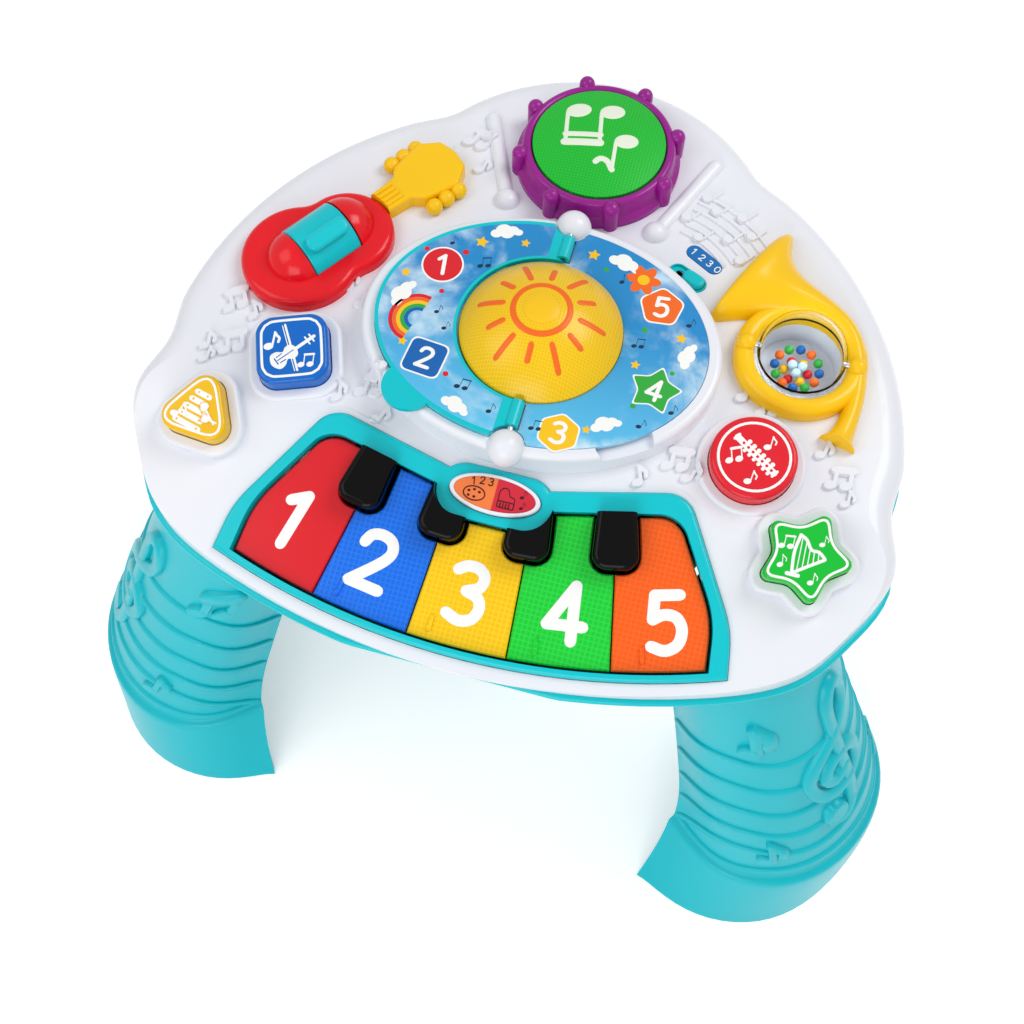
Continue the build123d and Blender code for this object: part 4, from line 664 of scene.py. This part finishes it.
# the star button: a harp
field = cap_field("button_star")
drawing = Drawing("star_signs", white_ink, "button_star")
drawing.stroke(field, star(20.4, 12.4, first=2.0, corner=0.36), 1.2, INK, closed=True, step=2.5)
harp = Shifted(field, 1.0, -0.4, 0)
for side in (((-5.2, 9.2), (-2.2, 7.6), (0.8, 3.6), (4.2, 3.4), (7.4, 1.0)),
             ((-5.2, 9.2), (-6.4, 1.0), (-5.6, -8.6)), ((-5.4, -8.6), (0.6, -4.2), (7.4, 0.6))):
    drawing.stroke(harp, side, 1.5, INK)
drawing.stroke(harp, ((-7.6, -9.2), (-2.6, -9.2)), 1.9, INK)
for k in range(5):
    x = -3.9 + 2.1 * k
    drawing.stroke(harp, ((x - 0.2, 7.6 - 1.35 * k), (x + 0.2, -6.6 + 1.55 * k)), 0.55, INK, step=3)
drawing.notes(field, ((-11.6, 2.0, 5.6, 0, True), (-10.4, -6.6, 5.2, 8, False), (4.4, -11.4, 5.2, 0, False),
                      (5.8, 6.6, 4.8, 0, False)), INK, 1.5)
drawing.done()

# ---- dial
DIAL_Y = 29.5
PLATE_TOP = 268.6
PAGE_TOP = 271.2
PAGE_UNDER = 268.9
PLATE_HOLE, PLATE_OVAL = 41.0, (80.2, 60.4)
PAGE_HOLE, PAGE_OVAL = 42.2, (79.6, 59.8)
RIGHT, LEFT = 1, -1
# film and ink, thin enough to clear each other when the page is turned
SHEET = 0.03
LAYER = 0.03
LIFT = 0.002                # between inks that cross


def sheet(drawing, height, thick, inner, outer, side, clear=7.6, parts=48):
    """A flat printed sheet between a circle and an oval, clear of the hinge line at its ends."""
    rings = []
    for k in range(parts + 1):
        share = 1 - 2 * k / parts
        low = share * (pi / 2 - clear / inner)
        high = share * (pi / 2 - clear / outer[0])
        a = (side * inner * cos(low), DIAL_Y + inner * sin(low))
        b = (side * outer[0] * cos(high), DIAL_Y + outer[1] * sin(high))
        rings.append([at(*a, height), at(*b, height), at(*b, height + thick), at(*a, height + thick)])
    drawing.rings(rings)


for name, body, sheets in (
    ("plate_print", "table", ((PLATE_TOP, PLATE_HOLE, PLATE_OVAL, RIGHT),
                              (PLATE_TOP, PLATE_HOLE, PLATE_OVAL, LEFT))),
    ("page_print", "picture_page", ((PAGE_TOP, PAGE_HOLE, PAGE_OVAL, LEFT),)),
    ("page_back_print", "picture_page", ((PAGE_UNDER - SHEET, PAGE_HOLE, PAGE_OVAL, LEFT),)),
):
    drawing = Drawing(name, sky, body)
    for height, hole, outside, side in sheets:
        sheet(drawing, height, SHEET, hole, outside, side)
    drawing.done(20)

page = Field(at(0, DIAL_Y, PAGE_TOP + SHEET))
plate = Field(at(0, DIAL_Y, PLATE_TOP + SHEET))


def print_on(name, ink, body):
    """A drawing in ink so thin that the page can lie on it."""
    return Drawing(name, ink, body, lift=LIFT)


def badge(body, field, x, y, turn, outline, figure, material):
    """A number badge: a white rim, a coloured shape and its numeral."""
    name = f"badge_{figure}"
    place = Shifted(field, x, y, turn)
    rim = print_on(name + "_rim", white_ink, body)
    rim.shape(place, [(p[0] * 1.09, p[1] * 1.09) for p in outline], LAYER)
    rim.done()
    fill = print_on(name, material, body)
    fill.shape(place, outline, LAYER * 2)
    fill.done()
    mark = print_on(name + "_figure", white_ink, body)
    numeral(mark, place, figure, 10.5, LAYER * 3, 0.2)
    mark.done()


badge("picture_page", page, -56.0, 23.0, 8, oval(9.6, 9.6, 40), "1", red_ink)
badge("picture_page", page, -49.0, -30.0, -6, rounded(((-9, -9), (9, -9), (9, 9), (-9, 9)), 0.2), "2",
      blue_ink)
badge("table", plate, 22.0, -51.0, 0, polygon(6, 10.0, 0.2), "3", yellow_ink)
badge("table", plate, 60.0, -17.0, -6, star(12.5, 7.6), "4", green_ink)
badge("table", plate, 53.0, 29.0, 6, polygon(5, 11.0, 0.22), "5", orange_ink)

# clouds, a rainbow, a flower, stars and notes between the badges
cloud_puffs = ((-6.5, -0.6, 4.0), (-1.5, 2.0, 5.2), (4.2, 0.6, 4.4), (8.0, -1.2, 3.0), (0.5, -1.4, 4.6))
for name, body, field, spots in (
    ("page_clouds", "picture_page", page,
     ((-70.0, 2.0, 0.8, 70), (-31.0, 50.0, 0.75, 20), (-28.0, -51.0, 0.7, -20))),
    ("plate_clouds", "table", plate, ((71.0, 5.0, 0.7, 80), (30.0, 49.0, 0.8, -14), (42.0, -41.0, 0.7, 30))),
):
    drawing = print_on(name, white_ink, body)
    for x, y, scale, turn in spots:
        place = Shifted(field, x, y, turn, scale)
        for px, py, reach in cloud_puffs:
            drawing.shape(Shifted(place, px, py), oval(reach, reach * 0.82, 24), LAYER)
    drawing.done()
BAND = 1.9                  # width of one stripe of the rainbow
for k, ink in enumerate((red_ink, orange_ink, yellow_ink, green_ink, blue_ink)):
    drawing = print_on(f"rainbow_{k + 1}", ink, "picture_page")
    reach = 13.0 - BAND * k
    arc = [(-59.0 + reach * cos(radians(a)), -10.0 + reach * sin(radians(a))) for a in range(75, 256, 20)]
    drawing.stroke(page, arc, BAND, LAYER, ends=False)
    drawing.done()
drawing = print_on("flower_petals", orange_ink, "table")
for k in range(6):
    drawing.shape(Shifted(plate, 41.0, 42.0, 60 * k), oval(4.2, 2.6, 20, 4.6, 0), LAYER)
drawing.done()
drawing = print_on("flower_heart", yellow_ink, "table")
drawing.shape(plate, oval(3.0, 3.0, 20, 41.0, 42.0), LAYER * 2)
drawing.done()
for name, body, field, ink, spots in (
    ("page_stars", "picture_page", page, yellow_ink,
     ((-41, 41, 3.6), (-72, 14, 2.8), (-62, -24, 2.6), (-20, 46, 2.6))),
    ("plate_stars", "table", plate, yellow_ink,
     ((66, 14, 3.0), (14, 50, 3.4), (48, -6, 2.6), (34, -46, 2.4))),
    ("page_dots", "picture_page", page, red_ink,
     ((-47, 33, 1.6), (-66, 30, 1.3), (-37, -36, 1.4), (-52, 8, 1.3))),
    ("plate_dots", "table", plate, green_ink, ((48, 14, 1.5), (22, 43, 1.3), (52, -28, 1.4), (66, -6, 1.2))),
):
    drawing = print_on(name, ink, body)
    for x, y, reach in spots:
        outline = star(reach, reach * 0.5) if "stars" in name else oval(reach, reach, 16)
        drawing.shape(Shifted(field, x, y), outline, LAYER)
    drawing.done()
for name, body, field, notes in (
    ("page_notes", "picture_page", page,
     ((-38, 27, 5.5, 10, True), (-51, -4, 4.6, 0, False), (-30, -41, 5.5, -10, True),
      (-55, 36.5, 4.6, 12, False), (-45, -12, 4.6, 0, False), (-12, -50, 5, 0, False))),
    ("plate_notes", "table", plate,
     ((68, 22, 5, -6, False), (45, 4, 5, 0, True), (70, -27, 5, 0, False),
      (31, 38, 5, 10, False), (9, -52, 5, 0, True), (57, -38, 5, -15, False))),
):
    drawing = print_on(name, navy_ink, body)
    drawing.notes(field, notes, LAYER)
    drawing.done()

# a plain sun sign on the dome: a ring with short rays
sun_field = Field(at(0, DIAL_Y, 280.0), onto="sun_dome")
drawing = Drawing("sun_rays", orange_ink, "table")
RAY_WIDTH, RAY_RISE = 2.8, 0.3
drawing.stroke(sun_field, oval(13.5, 13.5, 40), RAY_WIDTH, RAY_RISE, closed=True, step=2)
for k in range(12):
    turn = radians(30 * k)
    ray = [(reach * cos(turn), reach * sin(turn)) for reach in (19.0, 25.5 if k % 2 else 30.0)]
    drawing.stroke(sun_field, ray, RAY_WIDTH, RAY_RISE)
drawing.done()
drawing = Drawing("sun_middle", yellow_ink, "table")
drawing.shape(sun_field, oval(8.5, 8.5, 32), RAY_RISE)
drawing.done()

# ---- drum
PAD_INK = 0.25
drum_field = Field(at(0, 147.0, 274.0), onto="drum_pad")
drawing = Drawing("drum_notes", cream_ink, "drum_pad")
pair = Shifted(drum_field, -7.6, 7.0, 190, 1.22)
for x in (-7.2, 7.2):
    drawing.shape(Shifted(pair, x - 2.6, -8.4, 12), oval(5.4, 3.9, 28), PAD_INK)
    drawing.stroke(pair, ((x + 2.0, -7.4), (x + 2.0, 10.0)), 1.8, PAD_INK, step=2)
for y, width in ((9.2, 3.6), (5.0, 2.6)):
    drawing.stroke(pair, ((-5.4, y), (9.4, y)), width, PAD_INK, step=2)
single = Shifted(drum_field, 11.6, -6.0, 186, 1.15)
drawing.shape(Shifted(single, -2.6, -6.6, 14), oval(5.4, 3.8, 28), PAD_INK)
drawing.stroke(single, ((2.0, -5.6), (2.0, 10.0)), 1.8, PAD_INK, step=2)
drawing.stroke(single, ((2.0, 9.4), (4.6, 5.4), (7.8, 4.6), (9.6, 6.4)), 2.8, PAD_INK)
drawing.done()

# ---- raised notes on the deck
EYE = Vector((76.9, -302.6, 807.6))     # the camera's place over the table


def seen(x, y, height=255.0, read_at=266.0):
    """A place read on one level, moved along the line of sight to another."""
    return EYE.xy + (Vector((x, y)) - EYE.xy) * (EYE.z - height) / (EYE.z - read_at)


# place, height and turn of each note, and whether it is a pair
deck_notes = (
    (-150, 3, 9, 30, True), (-137, 2, 8, 30, False), (-154, -20, 8, 10, False), (-144, -20, 9, 20, True),
    (-152, -27, 7, 0, False), (-74, -24, 9, 0, True), (-63, -36, 8, -20, False), (-84, -30, 8, 15, False),
    (74, -24, 9, 0, True), (63, -36, 8, 20, False), (84, -28, 8, -15, False),
    (-66, 132, 9, -20, True), (-56, 116, 8, -10, False), (-78, 120, 8, -20, False),
    (100, 20, 9, 0, False), (110, 14, 8, 10, True), (141, 0, 8, -10, False), (148, -14, 9, 0, True),
    (156, -22, 7, 0, False), (-98, 30, 8, 10, False), (-90, 22, 7, 0, False),
)
drawing = Drawing("deck_notes", white_abs, "table", "shell_white")
deck = Field(at(0, 0, 256.0), onto="top_shell")
for x, y, size, turn, pair in deck_notes:
    place = seen(x, y)
    drawing.note(deck, place.x, place.y, size * 1.12, turn, 1.9, pair=pair, bold=2.6)
# note heads and stems over the speaker
sound = Shifted(deck, 73.0, 120.0, -32)
for u, v in ((-19, -8), (-11, 6), (-6, -12.6), (1, 12.6), (5, -2.4), (12, 7.6), (18, -7.6), (-20, 8.6)):
    drawing.shape(Shifted(sound, u, v), oval(2.9, 2.6, 20), 2.4)
    drawing.stroke(sound, ((u + 2.0, v), (u + 2.6, v + 8.0)), 1.4, 1.6)
drawing.done()

# the staff's rounded lines, which run between the sound slots
drawing = Drawing("sound_ribs", white_abs, "table", "shell_white")
for row in range(6):
    reach = 60.0 + (row - 2.5) * 5.2
    line = [(reach * sin(radians(a)), reach * cos(radians(a)) - 60.0) for a in range(-18, 19, 4)]
    drawing.stroke(sound, line, 2.0, 1.0)
drawing.done()

# ---- switch label
label_field = Field(at(67, 101, 255.3), Vector((cos(radians(-30)), sin(radians(-30)), 0)))
drawing = Drawing("label_signs", white_ink, "table")
for figure, x in (("1", -7.0), ("2", -1.6), ("3", 3.6)):
    numeral(drawing, Shifted(label_field, x, 0), figure, 3.6, THIN, 0.17)
drawing.stroke(Shifted(label_field, 8.8, 0), oval(1.3, 1.8, 12), 0.6, THIN, closed=True)
drawing.done()

# ---- legs
# height: inner edge, its half-width, half-width past it, nose half-width, nose reach
LEG = ((0, 174.5, 85, 81, 54.5, 259.5), (22, 174, 71, 71.5, 47.5, 257), (47, 171, 57, 62, 41, 254),
       (92, 157, 44, 54, 37, 236.5), (140, 139, 35, 47, 32, 215), (216, 114, 28.5, 41, 28, 181.5))
LEG_WALL = 3.0
LEG_TOP = 216.0
BRIM = 3.6                  # the foot's brim stands out by this
EDGE_ROLL = 0.9             # and the long edges roll outwards by this


def smooth_through(stations, values, place):
    """A natural cubic through the values, read at one place."""
    count = len(stations)
    matrix, right_side = np.eye(count), np.zeros((count, values.shape[1]))
    gap = np.diff(stations)
    for i in range(1, count - 1):
        matrix[i, i - 1:i + 2] = gap[i - 1], 2 * (gap[i - 1] + gap[i]), gap[i]
        after, before = (values[i + 1] - values[i]) / gap[i], (values[i] - values[i - 1]) / gap[i - 1]
        right_side[i] = 6 * (after - before)
    bend = np.linalg.solve(matrix, right_side)
    k = int(min(max(np.searchsorted(stations, place) - 1, 0), count - 2))
    a, b = (stations[k + 1] - place) / gap[k], (place - stations[k]) / gap[k]
    curve = ((a ** 3 - a) * bend[k] + (b ** 3 - b) * bend[k + 1]) * gap[k] ** 2 / 6
    return a * values[k] + b * values[k + 1] + curve


class LegSkin:
    """A leg's outside: u runs round it from its nose, in hundredths of half its girth; v is the height."""

    def __init__(self, turn):
        self.c, self.s = cos(radians(turn)), sin(radians(turn))
        self.kept = {}

    def level(self, z):
        if z not in self.kept:
            sizes = np.array(LEG, float)
            edge, edge_half, side_half, nose_half, nose = smooth_through(sizes[:, 0], sizes[:, 1:], z)
            middle, shoulder = edge + 0.42 * (nose - edge), edge + 0.84 * (nose - edge)
            ring = np.array([(edge, -edge_half), (middle, -side_half), (shoulder, -nose_half), (nose, 0),
                             (shoulder, nose_half), (middle, side_half), (edge, edge_half)])
            run = np.concatenate([[0], np.cumsum(np.hypot(*np.diff(ring, axis=0).T))])
            self.kept[z] = (run / run[-1], ring)
        return self.kept[z]

    def put(self, u, v, height):
        stations, ring = self.level(round(v, 2))
        place = (min(max(u, -100), 100) / 100 + 1) / 2
        x, y = smooth_through(stations, ring, place)
        ahead, behind = (smooth_through(stations, ring, place + k) for k in (0.002, -0.002))
        way = ahead - behind
        way /= np.hypot(*way)
        x, y = x + way[1] * height, y - way[0] * height
        return at(x * self.c - y * self.s, x * self.s + y * self.c, v)


CLEF = [(2.0, -3.0), (-2.6, -6.0), (-7.4, -1.6), (-4.4, 5.2), (3.4, 6.6), (9.6, 0.8), (8.4, -8.4),
        (0.4, -13.0), (-9.6, -10.0), (-14.2, 0.0), (-10.6, 11.0), (-1.4, 21.0), (6.2, 31.0), (5.4, 42.0),
        (0.8, 46.0), (-3.4, 40.0), (-2.4, 26.0), (1.4, 4.0), (4.4, -14.0), (4.4, -25.0), (0.4, -31.0),
        (-6.0, -29.0), (-6.2, -24.0)]
ROUND = [-100, -99, -97, -94] + list(range(-90, 91, 5)) + [94, 97, 99, 100]
# heights, with how far the brim stands out there as a share
RISE = ([(z, 1.0) for z in (0, 1.5, 5, 10, 16, 22, 28, 34, 39, 42)]
        + [(45, 0.98), (46.3, 0.86), (47, 0.6), (47.4, 0.25), (48.2, 0.06), (50, 0.0)]
        + [(z, 0.0) for z in range(56, 211, 7)] + [(LEG_TOP, 0.0)])
STAFF = (157, 134, 113, 94, 77)     # heights of its lines at the nose
ALONG = range(-98, 99, 7)


def leg_shell(name, skin):
    """An open-backed leg with one wall all round and a flat top."""
    shell = bmesh.new()

    def wall(u, z, share, inside):
        roll = EDGE_ROLL * max(0.0, 1 - (100 - abs(u)) / 4.0)
        reach = BRIM * share - LEG_WALL - roll if inside else BRIM * share + roll
        return shell.verts.new(skin.put(u, z, reach))

    outer = [[wall(u, z, share, False) for z, share in RISE] for u in ROUND]
    inner = [[wall(u, min(z, LEG_TOP - LEG_WALL), share, True) for z, share in RISE] for u in ROUND]
    for i in range(len(ROUND) - 1):
        for k in range(len(RISE) - 1):
            shell.faces.new((outer[i][k], outer[i + 1][k], outer[i + 1][k + 1], outer[i][k + 1]))
            shell.faces.new((inner[i][k], inner[i][k + 1], inner[i + 1][k + 1], inner[i + 1][k]))
        shell.faces.new((outer[i][0], inner[i][0], inner[i + 1][0], outer[i + 1][0]))
    for i in (0, -1):
        for k in range(len(RISE) - 1):
            shell.faces.new((outer[i][k], outer[i][k + 1], inner[i][k + 1], inner[i][k]))
    shell.faces.new([column[-1] for column in outer])
    shell.faces.new([column[-1] for column in inner])
    shell.faces.new((outer[0][-1], outer[-1][-1], inner[-1][-1], inner[0][-1]))
    piece = settle(shell, name + "_shell", turquoise_abs, "table", "leg_turquoise", 50)
    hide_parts(name)


def beside_nose(u):
    """Nothing over the nose, and about 1 at the long edges."""
    return max(0.0, (abs(u) - 48) / 50)


def leg_staff(name, skin):
    """Five rounded lines that fall away from the nose, and one that follows the brim."""
    drawing = Drawing(name + "_staff", turquoise_abs, "table", "leg_turquoise")
    for z in STAFF:
        line = [(u, z + 3.0 * sin(u / 16) - 27 * beside_nose(u) ** 1.5) for u in ALONG]
        drawing.stroke(skin, line, 3.2, 1.3, step=3.0)
    line = [(u, 58 + 3.0 * cos(u / 25) - 6 * beside_nose(u)) for u in ALONG]
    drawing.stroke(skin, line, 3.0, 1.4, step=3.0)
    drawing.done(60)


def leg_clef(name, skin):
    """The treble clef on the nose, with notes beside it."""
    drawing = Drawing(name + "_clef", turquoise_abs, "table", "leg_turquoise")
    drawing.stroke(Shifted(skin, 2.0, 129.0, -6, 1.36), CLEF, 5.6, 3.4, step=2.0)
    drawing.shape(Shifted(skin, -6.0, 94.0), oval(6.0, 6.0, 24), 3.4)
    drawing.notes(skin, ((-42, 168, 20, -4, False), (-46, 70, 16, -4, False), (46, 164, 18, -4, True),
                         (40, 72, 15, -4, False)), 2.6, 1.7)
    drawing.done(60)


for name, turn in (("leg_front_right", -27.0), ("leg_rear", 90.0), ("leg_front_left", 207.0)):
    skin = LegSkin(turn)
    leg_shell(name, skin)
    leg_staff(name, skin)
    leg_clef(name, skin)

# ---- teal lip of the lower housing
LIP_Z = 224.2               # middle of the lip
READ_AT = 228.5             # the top shell's outline is read here, just over the joint
LIP_SECTION = ((-3.0, -2.2), (0.8, -2.2), (2.2, -1.4), (2.7, 0.0), (2.2, 1.2), (0.8, 1.7), (-3.0, 1.7))
rim = surface("top_shell")
outline = []
for k in range(0, 360, 2):
    way = Vector((cos(radians(k)), sin(radians(k)), 0))
    hit = rim.ray_cast(at(0, 0, READ_AT) + way * 0.3, -way, 0.3)[0]
    outline.append(hit + way * 0.0002)
lip = bmesh.new()
rows = []
for k, point in enumerate(outline):
    way = (outline[(k + 1) % len(outline)] - outline[k - 1]).normalized()
    out = Vector((way.y, -way.x, 0))
    middle = Vector((point.x, point.y, LIP_Z / 1000))
    rows.append([lip.verts.new(middle + out * a / 1000 + UP * h / 1000) for a, h in LIP_SECTION])
for low, high in zip(rows, rows[1:] + rows[:1]):
    for k in range(len(low)):
        lip.faces.new((low[k], low[(k + 1) % len(low)], high[(k + 1) % len(low)], high[k]))
settle(lip, "housing_lip", teal_abs, "table", "teal", 55)

# ---- beads in the rattle ball
def bead_tree():
    """Beads on a ring: a named tree, so each ring is one modifier."""
    tree = bpy.data.node_groups.new("bead ring", "GeometryNodeTree")
    for name, kind, value in (("Count", "NodeSocketInt", 4), ("Ring radius", "NodeSocketFloat", 0.006),
                              ("Bead radius", "NodeSocketFloat", 0.0024), ("Turn", "NodeSocketVector", None),
                              ("Middle", "NodeSocketVector", None), ("Finish", "NodeSocketMaterial", None)):
        socket = tree.interface.new_socket(name=name, in_out="INPUT", socket_type=kind)
        if value is not None:
            socket.default_value = value
    tree.interface.new_socket(name="Geometry", in_out="OUTPUT", socket_type="NodeSocketGeometry")
    given = tree.nodes.new("NodeGroupInput").outputs
    ring = add(tree, "GeometryNodeMeshCircle",
               inputs={"Vertices": given["Count"], "Radius": given["Ring radius"]})
    bead = add(tree, "GeometryNodeMeshIcoSphere",
               inputs={"Radius": given["Bead radius"], "Subdivisions": 3})
    round_bead = add(tree, "GeometryNodeSetShadeSmooth", inputs={0: bead.outputs["Mesh"]})
    spread = add(tree, "GeometryNodeInstanceOnPoints", inputs={"Points": ring.outputs["Mesh"],
                                                               "Instance": round_bead.outputs[0]})
    whole = add(tree, "GeometryNodeRealizeInstances", inputs={0: spread.outputs["Instances"]})
    moved = add(tree, "GeometryNodeTransform", inputs={0: whole.outputs[0], "Translation": given["Middle"],
                                                       "Rotation": given["Turn"]})
    done = add(tree, "GeometryNodeSetMaterial", inputs={0: moved.outputs[0], "Material": given["Finish"]})
    tree.links.new(done.outputs[0], tree.nodes.new("NodeGroupOutput").inputs["Geometry"])
    return tree


beads = bead_tree()
ids = {item.name: item.identifier for item in beads.interface.items_tree if item.in_out == "INPUT"}
ball = at(124.0, 54.0, 262.5)
BALL_INSIDE = 0.0200
BEAD = 0.0024
BEAD_GAP = 0.0003
first_bead = None
# rings of beads that lie in the ball's bowl, the last one heaped on the others
for number, (count, reach, turn, heaped, colour) in enumerate((
    (3, 0.0060, 0, 0.0, red_ink), (3, 0.0060, 60, 0.0, yellow_ink), (4, 0.0112, 0, 0.0, blue_ink),
    (4, 0.0112, 30, 0.0, green_ink), (4, 0.0112, 60, 0.0, orange_ink), (3, 0.0029, 30, 0.0045, pale_ink),
)):
    drop = ((BALL_INSIDE - BEAD - BEAD_GAP) ** 2 - reach ** 2) ** 0.5 - heaped
    holder = bpy.data.objects.new(f"beads_{number + 1}_holder", bpy.data.meshes.new("empty"))
    scene.collection.objects.link(holder)
    modifier = holder.modifiers.new("bead ring", "NODES")
    modifier.node_group = beads
    modifier[ids["Count"]] = count
    modifier[ids["Ring radius"]] = reach
    modifier[ids["Bead radius"]] = BEAD
    modifier[ids["Turn"]] = (0.0, 0.0, radians(turn))
    modifier[ids["Middle"]] = tuple(ball - UP * drop)
    modifier[ids["Finish"]] = colour
    bpy.context.view_layer.update()
    mesh = bpy.data.meshes.new_from_object(holder.evaluated_get(bpy.context.evaluated_depsgraph_get()))
    bpy.data.objects.remove(holder)
    piece = bpy.data.objects.new(f"beads_{number + 1}", mesh)
    scene.collection.objects.link(piece)
    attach(piece, "rattle_ball")
    first_bead = first_bead or piece
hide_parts("rattle_beads")

# ---- studio
scene.view_settings.view_transform = "Standard"


def shows_behind(tree):
    """One for a ray that shows the studio itself: seen, mirrored or through the clear ball."""
    rays = add(tree, "ShaderNodeLightPath").outputs
    shown = rays["Is Camera Ray"]
    for kind in ("Is Glossy Ray", "Is Transmission Ray"):
        shown = add(tree, "ShaderNodeMath", {"operation": "MAXIMUM"}, {0: shown, 1: rays[kind]}).outputs[0]
    return shown


HALF = 6.0                  # half of the floor's side, in metres
BELOW = -0.0005             # keeps the floor clear of the feet
floor_mesh = bpy.data.meshes.new("studio_floor")
floor_mesh.from_pydata([(x * HALF, y * HALF, BELOW) for x, y in ((-1, -1), (1, -1), (1, 1), (-1, 1))],
                       [], [(0, 1, 2, 3)])
floor = bpy.data.objects.new("studio_floor", floor_mesh)
scene.collection.objects.link(floor)
# matt paper, brightened where it is seen so that it meets the backdrop without an edge
paper = bpy.data.materials.new("white studio paper")
paper.use_nodes = True
tree = paper.node_tree
tree.nodes.remove(tree.nodes["Principled BSDF"])
matte = add(tree, "ShaderNodeBsdfDiffuse", inputs={"Color": linear("#F4F4F4")})
bright = add(tree, "ShaderNodeEmission", inputs={"Strength": 0.42})
both = add(tree, "ShaderNodeAddShader", inputs={0: matte.outputs[0], 1: bright.outputs[0]})
mixed = add(tree, "ShaderNodeMixShader",
            inputs={0: shows_behind(tree), 1: matte.outputs[0], 2: both.outputs[0]})
give(tree, tree.nodes["Material Output"], {"Surface": mixed.outputs[0]})
floor_mesh.materials.append(paper)

world = bpy.data.worlds.new("studio")
scene.world = world
world.use_nodes = True
tree = world.node_tree
give(tree, tree.nodes["Background"], {"Color": linear("#FAFAFA"),
                                      "Strength": mapped(tree, shows_behind(tree), 0.5, 0.9)})


def softbox(name, place, aim, size, power):
    light = bpy.data.lights.new(name, "AREA")
    light.shape = "SQUARE"
    light.size = size
    light.energy = power
    lamp = bpy.data.objects.new(name, light)
    lamp.location = place
    lamp.rotation_euler = (Vector(aim) - Vector(place)).to_track_quat("-Z", "Y").to_euler()
    scene.collection.objects.link(lamp)


# a bright lamp behind on the right, a wide weaker one on the left, and a low one in front for the legs
softbox("key_softbox", (0.75, 0.55, 1.35), (0, 0, 0.2), 0.7, 9.0)
softbox("fill_softbox", (-0.9, -0.5, 1.3), (0, 0, 0.2), 0.9, 5.0)
softbox("front_softbox", (0.0, -1.4, 0.65), (0, 0, 0.12), 0.9, 8.0)

lens = bpy.data.cameras.new("camera")
lens.lens = 46.17
lens.sensor_width = 36.0
camera = bpy.data.objects.new("camera", lens)
azimuth, elevation = radians(15.37), radians(65.53)
ahead = Vector((-sin(azimuth) * cos(elevation), cos(azimuth) * cos(elevation), -sin(elevation)))
right = Vector((cos(azimuth), sin(azimuth), 0))
over = right.cross(ahead)
turn = Matrix((right, over, -ahead)).transposed().to_4x4()
camera.matrix_world = Matrix.Translation(at(*EYE)) @ turn
scene.collection.objects.link(camera)
scene.camera = camera
